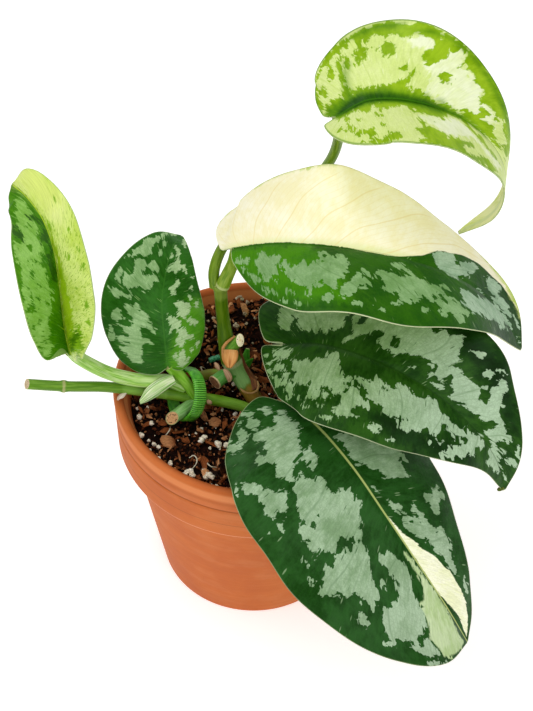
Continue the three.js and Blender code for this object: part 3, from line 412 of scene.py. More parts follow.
halfCreamLeaf = {
    "node": "leaf_half_cream", "slot": "cream_leaf", "cells": (170, 96), "footPower": 2.2, "veins": 10,
    "sweep": 1.6, "halfWidth": 38,
    "spine": [(-16.5, 4.5, 173), (-10.5, 3.5, 177.5), (7, 2, 182.5), (30.5, 0, 183.5), (55, -0.5, 179.5),
              (77, 1.5, 168.5), (94.5, 4, 150), (107.5, 5, 126)],
    "faces": [(-0.05, -0.05, 1), (-0.1, 0, 1), (0.15, 0, 1), (0.4, -0.05, 0.9), (0.8, -0.35, 0.5)],
    "foldLeft": [7, 21, 12, 6, 13], "foldRight": [5, 18, 6, 0, 0],
    "curlLeft": [-23, -15, -15, -12, 0], "curlRight": [-35, -28, -26, -19, -2],
    "left": [(-1.5, 0.8), (-8, 4), (-11, 21.5), (12.5, 36.5), (36, 38.5), (61.5, 35.5), (94.5, 26),
             (127.5, 13), (144.5, 0.8)],
    "right": [(-1.5, 0.8), (1, 9), (11, 25), (23, 34.5), (37.5, 38.5), (69.5, 33.5), (97, 23), (125, 10),
              (144.5, 0.8)],
    # The ground darkens towards the tip: painted shade.
    "ground": ("184c02", "2a5e02"), "paintedLight": ("X", 85, 125, "0a2a12", 0.65), "under": ("b9c88a", "9db56a"),
    "rim": "e2e6bc", "midrib": "274f08",
    "fine": {"hair": "86aa66", "hairShare": 0.5, "vein": "3c7012", "veinShare": 0.2, "netShare": 0.12,
             "grainShare": 0.4, "ribHalf": 0.5, "ribShare": 0.25, "rimWidth": 0.25, "rimShare": 0.6},
    "layers": [
        {"name": "brightBase", "colours": ("357400", "448400"), "ragged": 0.8, "softness": 3.5, "shapes": [
            [(-2, 0), (-12, -6), (4, -14), (16, -28), (32, -34), (46, -32), (40, -12), (30, -1)],
        ]},
        {"name": "silver", "colours": ("70985a", "8cb078"), "ragged": 0.7, "softness": 0.12,
         "vein": ("3f6c2a", 0.35), "dash": ("2c5f12", 0.75), "shapes": [
            [(0.9, -5.1), (4, -7.3), (7, -7), (8, -9.5), (6.5, -10.5), (3.5, -9.5), (1.5, -8)],
            [(9.8, -9.4), (10.9, -8), (10.9, -5.5), (12.3, -5.1), (13.7, -7.3), (15.1, -9.4), (16.7, -7.4),
             (19.1, -8), (20, -10.1), (19.4, -12.3), (18, -13.7), (19.1, -15.9), (19.4, -19.4), (17.3, -19.4),
             (16.7, -22.3), (15.1, -21.6), (14.1, -18.7), (12.6, -16.6), (11.6, -14.1), (10.5, -12.3)],
            [(20.3, -13.4), (21.2, -11.2), (22.6, -11.6), (23.6, -14.1), (24.1, -15.9), (25.5, -16.2),
             (26.6, -14.8), (28.7, -14.8), (28.4, -10.9), (29.8, -11.6), (30.9, -14.1), (32.3, -13.4),
             (33, -11.6), (34.8, -10.9), (34.4, -7.3), (34.1, -5.1), (35.9, -4.4), (37.6, -5.9), (38, -7.3),
             (40.1, -8.7), (41.2, -5.9), (42.6, -5.1), (43.7, -6.9), (44.6, -8.6), (43.4, -9.8),
             (44.8, -10.1), (45.7, -12.3), (44.8, -15.1), (46.2, -17.3), (43.7, -18.4), (43.7, -20.9),
             (42.3, -21.9), (40.9, -21.6), (41.5, -24.4), (41, -28), (40, -26), (38, -24.4), (36.6, -23),
             (35.1, -22.3), (34.5, -24.4), (36.6, -26.6), (35, -27.3), (33.5, -25.5), (33, -28),
             (34.5, -30.5), (33, -32), (31.5, -30.5), (31, -26.5), (29, -25.5), (26.5, -24), (24.5, -22.5),
             (23, -19.5), (21.5, -17)],
            [(36.6, -29.8), (39.1, -28.7), (40.9, -29.8), (40.9, -32.3), (39.4, -34.1), (37.3, -33)],
            [(48, -16.6), (49.8, -16.2), (50.1, -18.7), (51.6, -19.4), (52.6, -22.3), (51.6, -24.1),
             (49.1, -24.4), (48.7, -26.6), (47.3, -28.7), (45.1, -30.5), (44.4, -31.5), (42.6, -30.1),
             (42.3, -27.3), (43.7, -24.4), (45.9, -23), (46.6, -20.9), (47.3, -18.7)],
            [(49.8, -12.6), (51.6, -13.4), (53, -15.5), (53.7, -17.3), (52.3, -16.6), (50.9, -15.1)],
            [(46.6, -32.6), (48, -31.6), (50, -31.9), (49.8, -33.7), (47.3, -34.1)],
            [(22.3, -31.4), (25.7, -33.4), (25.3, -34), (22, -32.2)],
            [(27.6, -33), (30.1, -34.4), (29.8, -35), (27.4, -33.8)],
            [(14.8, -24), (17, -25), (20, -28.5), (20.5, -30), (18, -27.5), (15.5, -25.5)],
            [(25.5, -27.6), (27.5, -29.2), (27, -30), (25.2, -28.6)],
            [(7.3, -15.1), (9.4, -15.9), (11.6, -18.7), (13.4, -20.1), (12.3, -21.6), (9.8, -19.4),
             (8, -17.3)],
            [(3.4, -10.9), (5.9, -11.6), (7.3, -14.1), (5.5, -13.4)],
            [(18.7, -21), (20.3, -22.6), (19.9, -23.8), (18.5, -22.4)],
            [(55.1, -31.6), (58, -30.3), (59.8, -29.6), (58.5, -31.3)],
            [(61, -26.3), (64, -25), (64, -25.9), (61.4, -26.9)],
            [(61.3, -5.5), (64, -4.3), (66, -4.3), (66.5, -5.8), (69.5, -7.3), (71.5, -8.8), (75, -9.3),
             (75.5, -10.5), (71, -10), (67, -8), (62.5, -7.2)],
            [(55, -12.5), (57, -11.5), (59.5, -11.5), (61, -8.8), (62, -10.5), (65, -11), (69, -10.3),
             (71.5, -9.3), (75, -9.2), (76, -10.5), (80, -10.5), (82.5, -11.5), (85, -13.5), (88, -13.5),
             (91, -14.2), (94, -15), (97, -15), (95.5, -17), (94, -18.5), (91, -19.5), (88, -20.2), (86, -21),
             (84, -22.5), (83.5, -24.5), (80, -25), (79, -24.3), (80.5, -22.5), (80, -20.5), (78, -19.5),
             (76, -20), (74.5, -18.5), (73, -17.5), (72.5, -21), (71.5, -22), (70, -21.5), (69, -24.5),
             (66, -24.8), (64, -24.5), (63.5, -22), (64, -20.5), (62, -20.5), (61.5, -23), (60, -22.5),
             (57.5, -21), (58.5, -19.5), (57.8, -17.5), (56.5, -15.5), (55, -14)],
            [(81.5, -9.5), (84, -7.8), (86, -8.5), (86.5, -10), (84, -10.8)],
            [(88.3, -22), (89, -20.5), (93.5, -20.2), (93, -21.8), (89, -22.8)],
            [(72.5, -25.8), (73, -23.2), (75.5, -23), (76.2, -24.5), (74.5, -26.2)],
        ], "holes": [
            [(79.5, -13.8), (82, -13.5), (82.5, -15.5), (84.5, -16.5), (84.5, -17.5), (81, -17), (80, -15.5)],
            [(77.2, -16), (79, -16.5), (78.5, -18), (77, -17.5)],
        ]},
        {"name": "tipSilver", "colours": ("86a682", "a8c2a2"), "ragged": 0.7, "softness": 0.12,
         "vein": ("466f4a", 0.35), "dash": ("2d5a36", 0.75), "shapes": [
            [(92.3, -6), (93, -4.6), (98, -4.5), (100, -5), (105, -3), (109.5, -1.3), (114, 0), (116, 1.8),
             (121, 1.5), (124, 2), (134, 1.7), (132.5, 0.2), (127, -0.8), (124.5, -1.5), (129.5, -2.5),
             (126, -4), (122.5, -6.3), (121, -6.5), (122.5, -4.8), (119, -6.3), (116, -7), (114.5, -6.6),
             (112.5, -9), (110, -11), (105, -11), (103, -10.7), (101, -12), (98, -13.2), (95, -13),
             (92, -12.8), (91.5, -11), (93.5, -10), (92, -8)],
            [(79.6, 4.6), (80.7, 7.1), (82.5, 8.6), (86.4, 10.7), (90.7, 12.1), (92.1, 11.4), (90.7, 9.3),
             (95, 9.3), (97.1, 10.7), (99.3, 12.9), (103.6, 13.9), (105, 13.2), (102.1, 9.3), (100, 7.1),
             (97.9, 6.4), (98.9, 4.6), (97.9, 2.9), (94.3, 2.1), (90.7, -1.4), (87.1, -1.4), (85.7, 0),
             (82.9, 0.4), (81.4, 2.9)],
            [(109.6, 8.6), (110.4, 11.8), (113.6, 13.2), (119.3, 12.5), (120, 10.4), (117.9, 9.3),
             (117.1, 7.1), (121.4, 7.5), (125.7, 7.1), (125, 5.4), (129.3, 4.6), (128.6, 3.2), (123.6, 2.9),
             (119.3, 2.1), (115.7, 3.2), (113.2, 2.5), (116.4, 4.3), (112.9, 4.6), (110, 5.4)],
            [(129.5, 6.5), (133, 6.3), (137, 4.8), (133, 4.8), (130.5, 5.5)],
            [(135, 0), (138, 1.5), (142.5, 1.5), (141, 0.2), (137, -0.3)],
            [(102.5, 0.4), (106, 2.2), (105.6, 1), (103.5, 0)],
        ], "holes": [[(91.1, 8.2), (93.9, 8.2), (93.5, 6.5), (91.5, 6.2)]]},
        {"name": "cream", "colours": ("f5eec0", "fbf7da"), "ragged": 0.12, "softness": 0.2, "calm": 0.7,
         "vein": ("e9d68a", 0.5), "foot": ("cfdc84", 0.55), "shapes": [
            [(-9, 0.8), (10, 0.7), (45, 0.4), (52, -0.6), (60, -0.6), (65, 0.3), (70, 2), (75, 4), (80, 7.5),
             (83, 9.5), (90, 11.5), (95, 13.7), (100, 14.5), (106, 15.3), (110, 14.5), (113, 13.5), (118, 13),
             (122, 12), (128, 10.3), (133, 9.5), (136, 14), (110, 28), (70, 42), (30, 46), (-4, 38),
             (-18, 20), (-14, 2)],
        ]},
        {"name": "creamEdge", "colours": ("b0c858", "d2dc86"), "ragged": 0.7, "softness": 1.6, "shapes": [
            [(106, 23.5), (116, 16.5), (126, 11.5), (134, 8.6), (138, 10), (124, 20), (106, 27)],
            [(-13, 20), (-9, 24), (0, 31), (12, 36), (24, 38.2), (36, 38.4), (36, 41), (10, 40), (-14, 30)],
        ]},
    ],
}

middleLeaf = {
    "node": "leaf_middle", "slot": "silver_leaf", "cells": (160, 92), "footPower": 2.2, "veins": 10,
    "halfWidth": 37,
    "spine": [(-3, -7.6, 135.2), (11, -7.5, 136.5), (27, -11, 140.5), (48, -19.5, 140.5), (69, -27.5, 134),
              (85.5, -34, 121.5), (97, -36.5, 105), (102.5, -38, 87.5)],
    "faces": [(0.1, -0.05, 1), (0, -0.1, 1), (-0.05, -0.3, 0.95), (0.25, -0.35, 0.9), (0.25, -0.6, 0.75)],
    "foldLeft": [2, 9, 19, 15, 12], "foldRight": [3, 6, 9, 3, 0],
    "curlLeft": [-21, -20, -15, -11, -12], "curlRight": [-24, -21, -18, -18, -11],
    "left": [(-1.5, 0.8), (-9, 4), (-9.5, 23), (6, 32.5), (27.5, 37), (53.5, 33.5), (84.5, 28), (111.5, 10.5),
             (123.5, 0.8)],
    "right": [(-1.5, 0.8), (-10, 2), (-4.5, 22), (15, 34.2), (31, 36), (54.5, 32), (76, 24), (100, 10),
              (123.5, 0.8)],
    "ground": ("113a02", "2b5612"), "under": ("8fa878", "7b9765"), "rim": "d9e0b4", "midrib": "16360a",
    "fine": {"hair": "8fb074", "hairShare": 0.6, "vein": "2b5614", "veinShare": 0.2, "netShare": 0.14,
             "grainShare": 0.9, "ribHalf": 0.7, "ribShare": 0.4, "rimWidth": 0.22, "rimShare": 0.7},
    "layers": [
        {"name": "darkFlank", "colours": ("082600", "14380c"), "ragged": 1.0, "softness": 4.0, "shapes": [
            [(40, 30), (60, 32), (84, 28), (108, 12), (96, 12), (80, 16), (60, 22)],
            [(44, -24), (60, -29), (80, -22), (100, -10), (90, -8), (70, -16), (50, -20)],
        ]},
        # The silver lightens towards the tip: painted light.
        {"name": "silver", "colours": ("7c9e64", "a4c092"), "ragged": 0.75, "softness": 0.12,
         "paintedLight": ("X", 25, 75, "bcd2ba", 0.5), "vein": ("3c6626", 0.35), "dash": ("24500f", 0.75),
         "shapes": [
            [(5.1, -8.7), (8.4, -9.4), (11.6, -8.7), (13.4, -10.1), (13.7, -8.7), (16.6, -7.3), (19.4, -6.6),
             (20.7, -3), (23, -2.6), (23.7, -4.8), (25.5, -6.9), (28, -10.9), (30.9, -12.3), (33, -11.6),
             (33.4, -13.7), (30.9, -15.9), (33.7, -16.9), (35.1, -14.4), (37.3, -15.1), (39.4, -18),
             (43.4, -20.9), (42.3, -22.6), (39.4, -23.7), (38, -25.1), (38.7, -26.6), (41.9, -27.3),
             (39.4, -28), (37.3, -29.1), (35.1, -30.5), (30.9, -29.8), (31.2, -28), (34.4, -26.6),
             (33.7, -23.7), (32.3, -20.9), (33.7, -18), (31.6, -20.1), (30.9, -22.6), (28, -20.9),
             (25.1, -20.1), (23, -20.9), (23, -23.7), (23.4, -26.6), (22.3, -27.6), (19.4, -27.3),
             (18, -25.1), (17.6, -23.7), (16.6, -22.3), (13, -21.6), (11.6, -22.6), (8.7, -20.1),
             (5.9, -18.7), (6.9, -15.9), (5.1, -13.7), (4.8, -11.6)],
            [(-5, -2.6), (3, -3), (3.3, -8), (-0.5, -9), (-1.5, -7), (-3, -9.5), (-5, -8)],
            [(-5, -10), (1.5, -10), (2, -14), (-4.5, -14)],
            [(-5, -15.5), (4, -15.5), (4, -21), (-4, -21.5)],
            [(3.4, -21.2), (5.1, -20.1), (7.3, -21.6), (8, -24.4), (9.4, -25.9), (8.7, -26.9), (6.9, -27.3),
             (5.1, -25.1), (3.7, -23)],
            [(11.6, -26.6), (13.4, -27.3), (14.8, -28.9), (13, -28.6)],
            [(24.4, -22.3), (27, -23), (28.7, -24.4), (27.3, -25.1), (25, -24.4)],
            [(24.4, -28.4), (27.3, -28.8), (26, -29.7)], [(17.3, -31), (21.2, -31), (19.8, -32.7)],
            [(28, -32.4), (30.9, -31.6), (33.4, -32.3), (30.9, -33.4)],
            [(34, -10.2), (37.3, -10.9), (40, -10), (42.3, -9.4), (41.9, -7.3), (45.1, -7.3), (47.3, -8.7),
             (50.1, -8), (49.8, -5.5), (50.9, -4.4), (55, -5.4), (57.1, -6.9), (62.9, -5.4), (62.5, -2.9),
             (67.5, -2.9), (66.4, -4), (70.7, -4.4), (75, -5.1), (80, -4.7), (83.6, -4), (82.1, -2.9),
             (82.9, -1.9), (87.9, -1.9), (90, -0.8), (93.9, -0.4), (95, -1.9), (94.3, -4), (93.6, -4.7),
             (92.1, -5.4), (93.6, -8.3), (92.1, -9.4), (90, -9.7), (90, -11.5), (88.6, -13.3), (85.7, -14),
             (85, -15.8), (82.5, -16.1), (82.9, -14), (81.4, -13.3), (82.5, -11.9), (85, -10.4), (84.3, -9),
             (86.4, -7.6), (86.4, -6.1), (84.3, -6.1), (82.9, -6.9), (82.9, -8.3), (80, -9), (76.4, -9.4),
             (76.1, -7.9), (73.9, -8.6), (75, -10.4), (75.4, -13.3), (75, -14.4), (78.6, -14), (77.9, -15.4),
             (75, -15.1), (69.3, -14.7), (68.9, -16.9), (67.5, -17.9), (64.3, -19), (63.6, -21.1),
             (59.3, -21.5), (58.2, -19.7), (59.3, -17.6), (57.1, -16.9), (55.7, -19), (52.9, -20.1),
             (49.4, -19.4), (48, -18), (43.7, -17.3), (40.9, -17.6), (42.3, -15.9), (41.6, -14.4),
             (38.7, -14.4), (36.6, -13), (34.4, -12.3)],
            [(46.2, -28), (47.3, -26.6), (50.1, -25.1), (53.7, -24.8), (51, -27), (51.6, -28), (49.4, -29.4),
             (46.9, -29.4)],
            [(55, -29.4), (57.1, -26.9), (61.4, -26.9), (58.5, -28), (57, -29.5)],
            [(73.6, -18.1), (76.4, -18.8), (74, -19.4)], [(78.6, -19.4), (84.5, -16.6), (83.8, -17.8)],
            [(-9, -5), (-7, -5), (-7, -6.5), (-8.8, -6.6), (-7.7, -11.6), (-5.5, -9.5), (-5.5, -16),
             (-7.5, -14)],
            [(8.7, 6.6), (9.5, 8), (11.2, 4.9), (12, 8), (14.8, 5.6), (15.5, 9), (18, 8), (20, 10),
             (19.8, 22), (18, 30), (8, 31), (3, 28), (1.5, 22), (2.5, 12), (5, 8)],
            [(-2.7, 8), (0.5, 8), (1.5, 14), (1.2, 24), (-2, 24), (-4, 16)],
            [(23.4, 3.4), (23.7, 6.3), (24.8, 8.1), (23.7, 11.3), (22.3, 14.9), (22, 20), (23, 34), (36, 34),
             (38, 27), (46, 26), (50, 22), (53.6, 21), (55.7, 24.2), (58.6, 22.4), (62.5, 25.3), (63.6, 21.7),
             (62.9, 19.6), (65.4, 16.7), (64.3, 13.9), (62.1, 12.4), (67.9, 13.1), (70.7, 12.1), (74.3, 12.8),
             (77.9, 13.1), (80, 11.4), (79.6, 9.9), (85, 10.3), (83.6, 12.4), (83.9, 15.3), (80.7, 15.6),
             (81.1, 18.1), (83.2, 19.2), (81.4, 22.4), (87.9, 23.1), (88.9, 21.4), (87.1, 19.6), (89.3, 19.2),
             (89.6, 17.1), (92.9, 16.4), (90.4, 14.9), (91.8, 12.1), (99.3, 11), (100, 10), (104.6, 9.6),
             (103.6, 7.8), (101.1, 7.1), (100, 5.3), (99.6, 2.8), (95.7, 2.1), (91.1, 2.4), (92.9, 5.3),
             (95.4, 9.6), (91, 9.8), (90, 7.4), (88.9, 6), (85.7, 4.9), (81.4, 4.6), (77.1, 4.2), (73.6, 2.4),
             (70.4, 2.4), (70.7, 4.6), (69.3, 6), (66.8, 7.4), (66.8, 9.6), (63.6, 9.6), (63.6, 6), (65, 5.6),
             (60.7, 5.3), (60, 4.6), (60.4, 7.4), (59.6, 9.6), (56.6, 9.8), (52.3, 9.5), (49.4, 8.4),
             (45.1, 7.3), (43, 4.8), (40.9, 6.6), (38, 5.9), (36.6, 7.3), (35.5, 9.9), (31, 10.2), (28, 9.1),
             (25.1, 6)],
            [(60, 2.8), (66.4, 4), (65, 2.5), (61, 2.2)], [(51.4, 3.3), (53.4, 4.6), (53, 3.4)],
            [(66, 21.6), (69, 22.7), (70.3, 25.5), (71.2, 25), (71, 22.5), (68.5, 21.5)],
            [(72.9, 21), (78.6, 21.4), (77.5, 20.3), (78.5, 19), (76.5, 17.8), (74.7, 18), (74.5, 20)],
            [(78.6, 23.6), (83.6, 24), (83.4, 24.8), (78.8, 24.6)],
            [(107.1, 11.7), (109, 10.5), (111, 9), (108, 10)],
            [(108.6, 3.9), (110.7, 7.4), (115, 8.1), (115.4, 7.4), (112.1, 5.3), (110.7, 4)],
            [(103.2, 4.2), (106.4, 5.8), (106, 4.6)],
            [(98.9, 0.3), (101.1, 2.4), (106.4, 2.8), (106, 1), (114.3, -0.4), (111, -1.9), (108.6, -3.6),
             (104.3, -4.7), (101.4, -5.1), (101.8, -2.6), (99.3, -1.5)],
            [(113.2, 1), (116.4, 2.4), (119.3, 1.7), (117.1, 0.3)],
        ], "holes": [
            [(15.2, -20.1), (17.3, -20.1), (17.3, -21.6), (15.4, -21.6)],
            [(45.1, -9.4), (48.7, -9.8), (47.3, -11.6), (45.8, -11.2)],
            [(40.5, 8.5), (43.5, 9), (43.7, 13.4), (40.8, 13)],
            [(31, 10.2), (35.5, 10.2), (35.2, 13.4), (31.4, 13)],
            [(24, 14), (27.3, 15), (27, 20), (24, 19.5)], [(-2.5, -15), (1, -15.5), (1, -18), (-2, -18)],
        ]},
    ],
}

frontLeaf = {
    "node": "leaf_front", "slot": "silver_leaf", "cells": (180, 110), "footPower": 2.2, "veins": 10,
    "halfWidth": 38,
    "spine": [(1, -17.2, 122.4), (12.5, -27, 123), (24.5, -37.5, 121.5), (38.5, -52, 115), (52.5, -66, 102.5),
              (66.5, -77, 86), (79, -84, 68), (89, -86.5, 48.5)],
    "faces": [(0.05, -0.15, 1), (0.2, -0.25, 0.95), (0.35, -0.45, 0.85), (0.45, -0.45, 0.75),
              (0.65, -0.4, 0.65)],
    "foldLeft": [4, -4, -5, -3, 3], "foldRight": [8, 1, -2, 1, 11],
    "curlLeft": [-21, -26, -26, -20, -13], "curlRight": [-21, -21, -22, -18, -11],
    "left": [(-1.5, 0.8), (-10.5, 9), (-8.5, 26.5), (8.5, 39.5), (31.5, 43.5), (62.5, 38.5), (92, 27.5),
             (120, 13), (130, 0.8)],
    "right": [(-1.5, 0.8), (-11, 6.5), (-7.4, 25), (6, 41.8), (34, 48.8), (70.5, 47), (100.5, 35.5),
              (122, 17), (130, 0.8)],
    "ground": ("0f3a02", "23521a"), "under": ("8fa878", "7b9765"), "rim": "c3d09c", "midrib": "b4c070",
    "fine": {"hair": "93ae80", "hairShare": 0.6, "vein": "2c5a24", "veinShare": 0.2, "netShare": 0.14,
             "grainShare": 0.9, "ribHalf": 0.75, "ribShare": 0.85, "rimWidth": 0.35, "rimShare": 0.5},
    "layers": [
        {"name": "lightTip", "colours": ("a9c284", "c2d4a4"), "ragged": 0.5, "softness": 0.5, "shapes": [
            [(76, -2.5), (84, -3), (90, -3.5), (94, -4.5), (97, -7), (97, -9.5), (103, -10.5), (107, -12.5),
             (110, -15.5), (114, -15), (119, -15), (122, -13.5), (125, -10), (127.5, -5), (127, -2),
             (122, -2.5), (117, -1.5), (110, -1), (100, -0.8), (90, -0.8), (82, -1)],
        ]},
        # The silver lightens towards the tip: painted light.
        {"name": "silver", "colours": ("7c9a70", "a0ba96"), "ragged": 0.75, "softness": 0.12,
         "paintedLight": ("X", 60, 120, "bccfb4", 0.4), "vein": ("42663a", 0.35), "dash": ("285020", 0.75),
         "shapes": [
            [(2.5, -4), (5, -5.5), (8, -6.5), (10, -5), (11.5, -7.5), (13, -6.5), (14.5, -9.5), (17, -11),
             (19.5, -12.5), (21, -16), (24, -20), (27, -22), (29, -24), (26.5, -24), (25, -25), (23, -27.5),
             (21, -26), (19, -25), (16, -25.5), (13.5, -26.5), (11.5, -25), (10, -23), (7.5, -23.5),
             (6, -20.5), (4, -22.5), (2, -23), (0.8, -20), (1.5, -17), (3.5, -14.5), (4.5, -12), (3.5, -10.5),
             (1, -10.5), (0, -9), (1.5, -7.5), (0.5, -5.5)],
            [(21, -8.5), (23, -9.5), (26, -8.3), (28, -10.5), (29, -13), (30, -14.5), (27.5, -15), (25, -13),
             (23.5, -14), (22, -12.5), (20.5, -12), (21.5, -10.5)],
            [(27, -18.5), (31, -18.2), (33.8, -16), (32.5, -13.8), (35.5, -12.8), (40, -14), (42.2, -12),
             (41.5, -9.5), (44, -8.5), (44.5, -7), (49, -6), (50.5, -5.2), (52.5, -7), (54.5, -9), (57, -10),
             (60, -12), (62, -14.5), (62, -17), (59.5, -16.5), (58, -17.5), (60, -19.5), (56, -20),
             (58, -22.5), (61, -24), (60, -26.5), (57.5, -26.5), (58, -28.5), (56, -28.5), (57, -32),
             (58, -34), (54, -33), (51, -32), (50, -34), (46.5, -32.5), (44, -31), (45.5, -29.5), (42, -29.5),
             (39, -29.5), (37, -28), (36, -26), (33.5, -24.5), (31, -25), (29.5, -22), (28, -20)],
            [(62, -15), (66, -14.4), (70, -15.2), (75, -18), (79, -20), (82.5, -22.5), (86, -24.5), (87, -26),
             (84.5, -27), (80.5, -26), (81, -28), (77, -28), (76.8, -32.5), (73.5, -33), (73, -36),
             (70.5, -38.5), (67.5, -38.2), (66, -36), (64.5, -33), (62, -31), (64.5, -30), (63, -27.5),
             (60.5, -26), (61.5, -23), (59, -21), (63, -20), (64, -18), (61.5, -17)],
            [(30.5, -27.5), (33, -28.5), (35, -31), (37, -33.5), (35, -34), (33.5, -35), (35, -38),
             (32, -39.5), (29, -38), (26.5, -38.5), (24, -37.5), (21, -41), (20, -42.5), (16.5, -41),
             (13.5, -40), (17, -37.5), (20, -35.5), (24, -34.5), (24.5, -32.5), (27, -32), (28.5, -29.5)],
            [(-5.5, -7.5), (-3, -6.8), (-1.2, -8), (-1.5, -10.8), (-4, -11), (-5.8, -9.8)],
            [(-5.5, -15), (-1.5, -14.5), (-0.5, -17), (-0.8, -20), (-4.5, -20.2), (-5.8, -17.5)],
            [(-5.3, -21.8), (-1, -21.5), (0.3, -24), (-1.5, -26), (-4.8, -25)],
            [(-5, -29.5), (0, -28.5), (1.5, -30.5), (0.5, -32.8), (-3, -33), (-5, -31)],
            [(-10.5, -15.5), (-8.5, -13), (-6, -12.3), (-6.5, -15.5), (-9, -17.5), (-10.8, -17)],
            [(-8, -19), (-5.8, -19.5), (-6.5, -22), (-8, -20.5)],
            [(7.5, -26), (11, -26.5), (13.5, -28.5), (12, -29.5), (9.5, -28.8)],
            [(10.5, -41), (14, -42.5), (18.3, -44), (15.5, -44.2), (11.5, -42.5)],
            [(37, -37.8), (40, -37), (43.5, -38.5), (40.5, -39.2), (38, -39)],
            [(37.3, -41.2), (40.2, -42.8), (39.6, -43.8), (37.2, -42.4)],
            [(56, -36), (59, -37), (58.6, -38), (56.2, -37)],
            [(85.2, -31), (87, -30.2), (91, -30.2), (90, -32.5), (87.5, -34), (85, -33.2)],
            [(61.5, -39.5), (64, -37.5), (66.5, -38.5), (66, -40)],
            [(72.5, -8), (76, -6.5), (80, -5), (86, -5.2), (89, -7), (91, -8.5), (94, -9.5), (97, -10.5),
             (101, -10.5), (105, -12.5), (107, -14.5), (106, -18), (108, -21), (105, -22.5), (102, -24),
             (104, -25.5), (100, -26), (102, -28.5), (101, -31), (98.5, -31), (98.8, -28.5), (96, -28),
             (93, -26.5), (90, -24), (88, -22.5), (89.5, -20), (89.8, -17), (88, -14.5), (84, -12.5),
             (80, -12), (77, -12.5), (73, -12.5), (71, -11.5), (73, -9.8)],
            [(79, -16.5), (82, -16.3), (85, -18), (81, -18.3)],
            [(109, -15.5), (113, -15.5), (118, -15.8), (116, -17.5), (114, -20), (111, -22.5), (108.5, -23.5),
             (106, -24), (104, -23), (107, -21.5), (109.5, -19.5), (108, -17.5)],
            [(113, -24.5), (116, -21.5), (119, -18.5), (122, -16.5), (119.5, -19.5), (115.5, -23.5)],
            [(24, 2.5), (28, 4), (33, 2), (38, 3.5), (42, 6.5), (45, 9), (49, 10.5), (49.5, 13), (52, 15),
             (54, 17.5), (52, 18.5), (54.5, 20.5), (51.5, 21.5), (47.5, 21.8), (46.8, 23.5), (49.5, 25.5),
             (45.5, 25.5), (42, 26), (38, 22), (33, 17), (28, 11), (24.5, 6)],
            [(66.5, 32.5), (69, 31.5), (72.5, 32), (74.5, 30), (72.5, 28.5), (73.5, 26), (76.2, 25),
             (77, 22.5), (75, 21), (70, 21), (66.5, 20.8), (65.5, 22.8), (69, 25), (67, 26.5), (65.8, 28),
             (68.8, 29.5)],
            [(80, 20), (84.5, 20), (91.5, 19.5), (91, 17.5), (95, 17), (96.5, 15.5), (101.5, 13.5),
             (101.5, 12), (97.5, 12), (93, 11.8), (90, 12), (88.5, 10.3), (84, 10), (81, 11.5), (79, 10),
             (80, 8.5), (76, 7.5), (73.5, 5.5), (69, 4.5), (66.5, 5.5), (70, 7.5), (68.8, 8.8), (63, 6),
             (57, 4.2), (57, 5.2), (63, 7.8), (69.5, 9.5), (69, 11), (74, 12.5), (70, 13.5), (64, 12),
             (63.5, 13.5), (69, 14.8), (75, 15.8), (79.5, 17), (82, 16), (80.5, 18.5)],
            [(106.5, 15.5), (111, 14.8), (114.5, 13.5), (113, 12.5), (109, 13.5)],
            [(48, 2.2), (52, 3.5), (50.5, 2.2)],
        ], "holes": [
            [(45.2, -24.8), (47, -25.5), (48.6, -27.5), (47.5, -28), (46, -26.5)],
            [(92.5, -5.5), (96, -6), (96.3, -8.5), (94, -9), (92.5, -8)],
            [(105, -12), (107.5, -13.5), (109.5, -15.5), (107, -16), (105.3, -14.5)],
            [(105, -18.5), (110, -19), (109, -20.5), (105.5, -20.3)],
        ]},
        {"name": "cream", "colours": ("eff2c6", "fbfbdf"), "ragged": 0.25, "softness": 0.2,
         "vein": ("dde2a0", 0.4), "shapes": [
            [(60, 0.2), (66, 1), (71, 1.7), (76, 4), (80.5, 5), (84, 7), (89, 9), (96, 9.8), (98, 11),
             (104, 11), (110, 10.8), (117, 9.5), (122, 7), (126, 3.5), (128, 1), (124, 1.5), (119, 2.5),
             (112, 2.5), (108, 1.5), (103.5, 1), (100, 0.2)],
        ]},
    ],
}

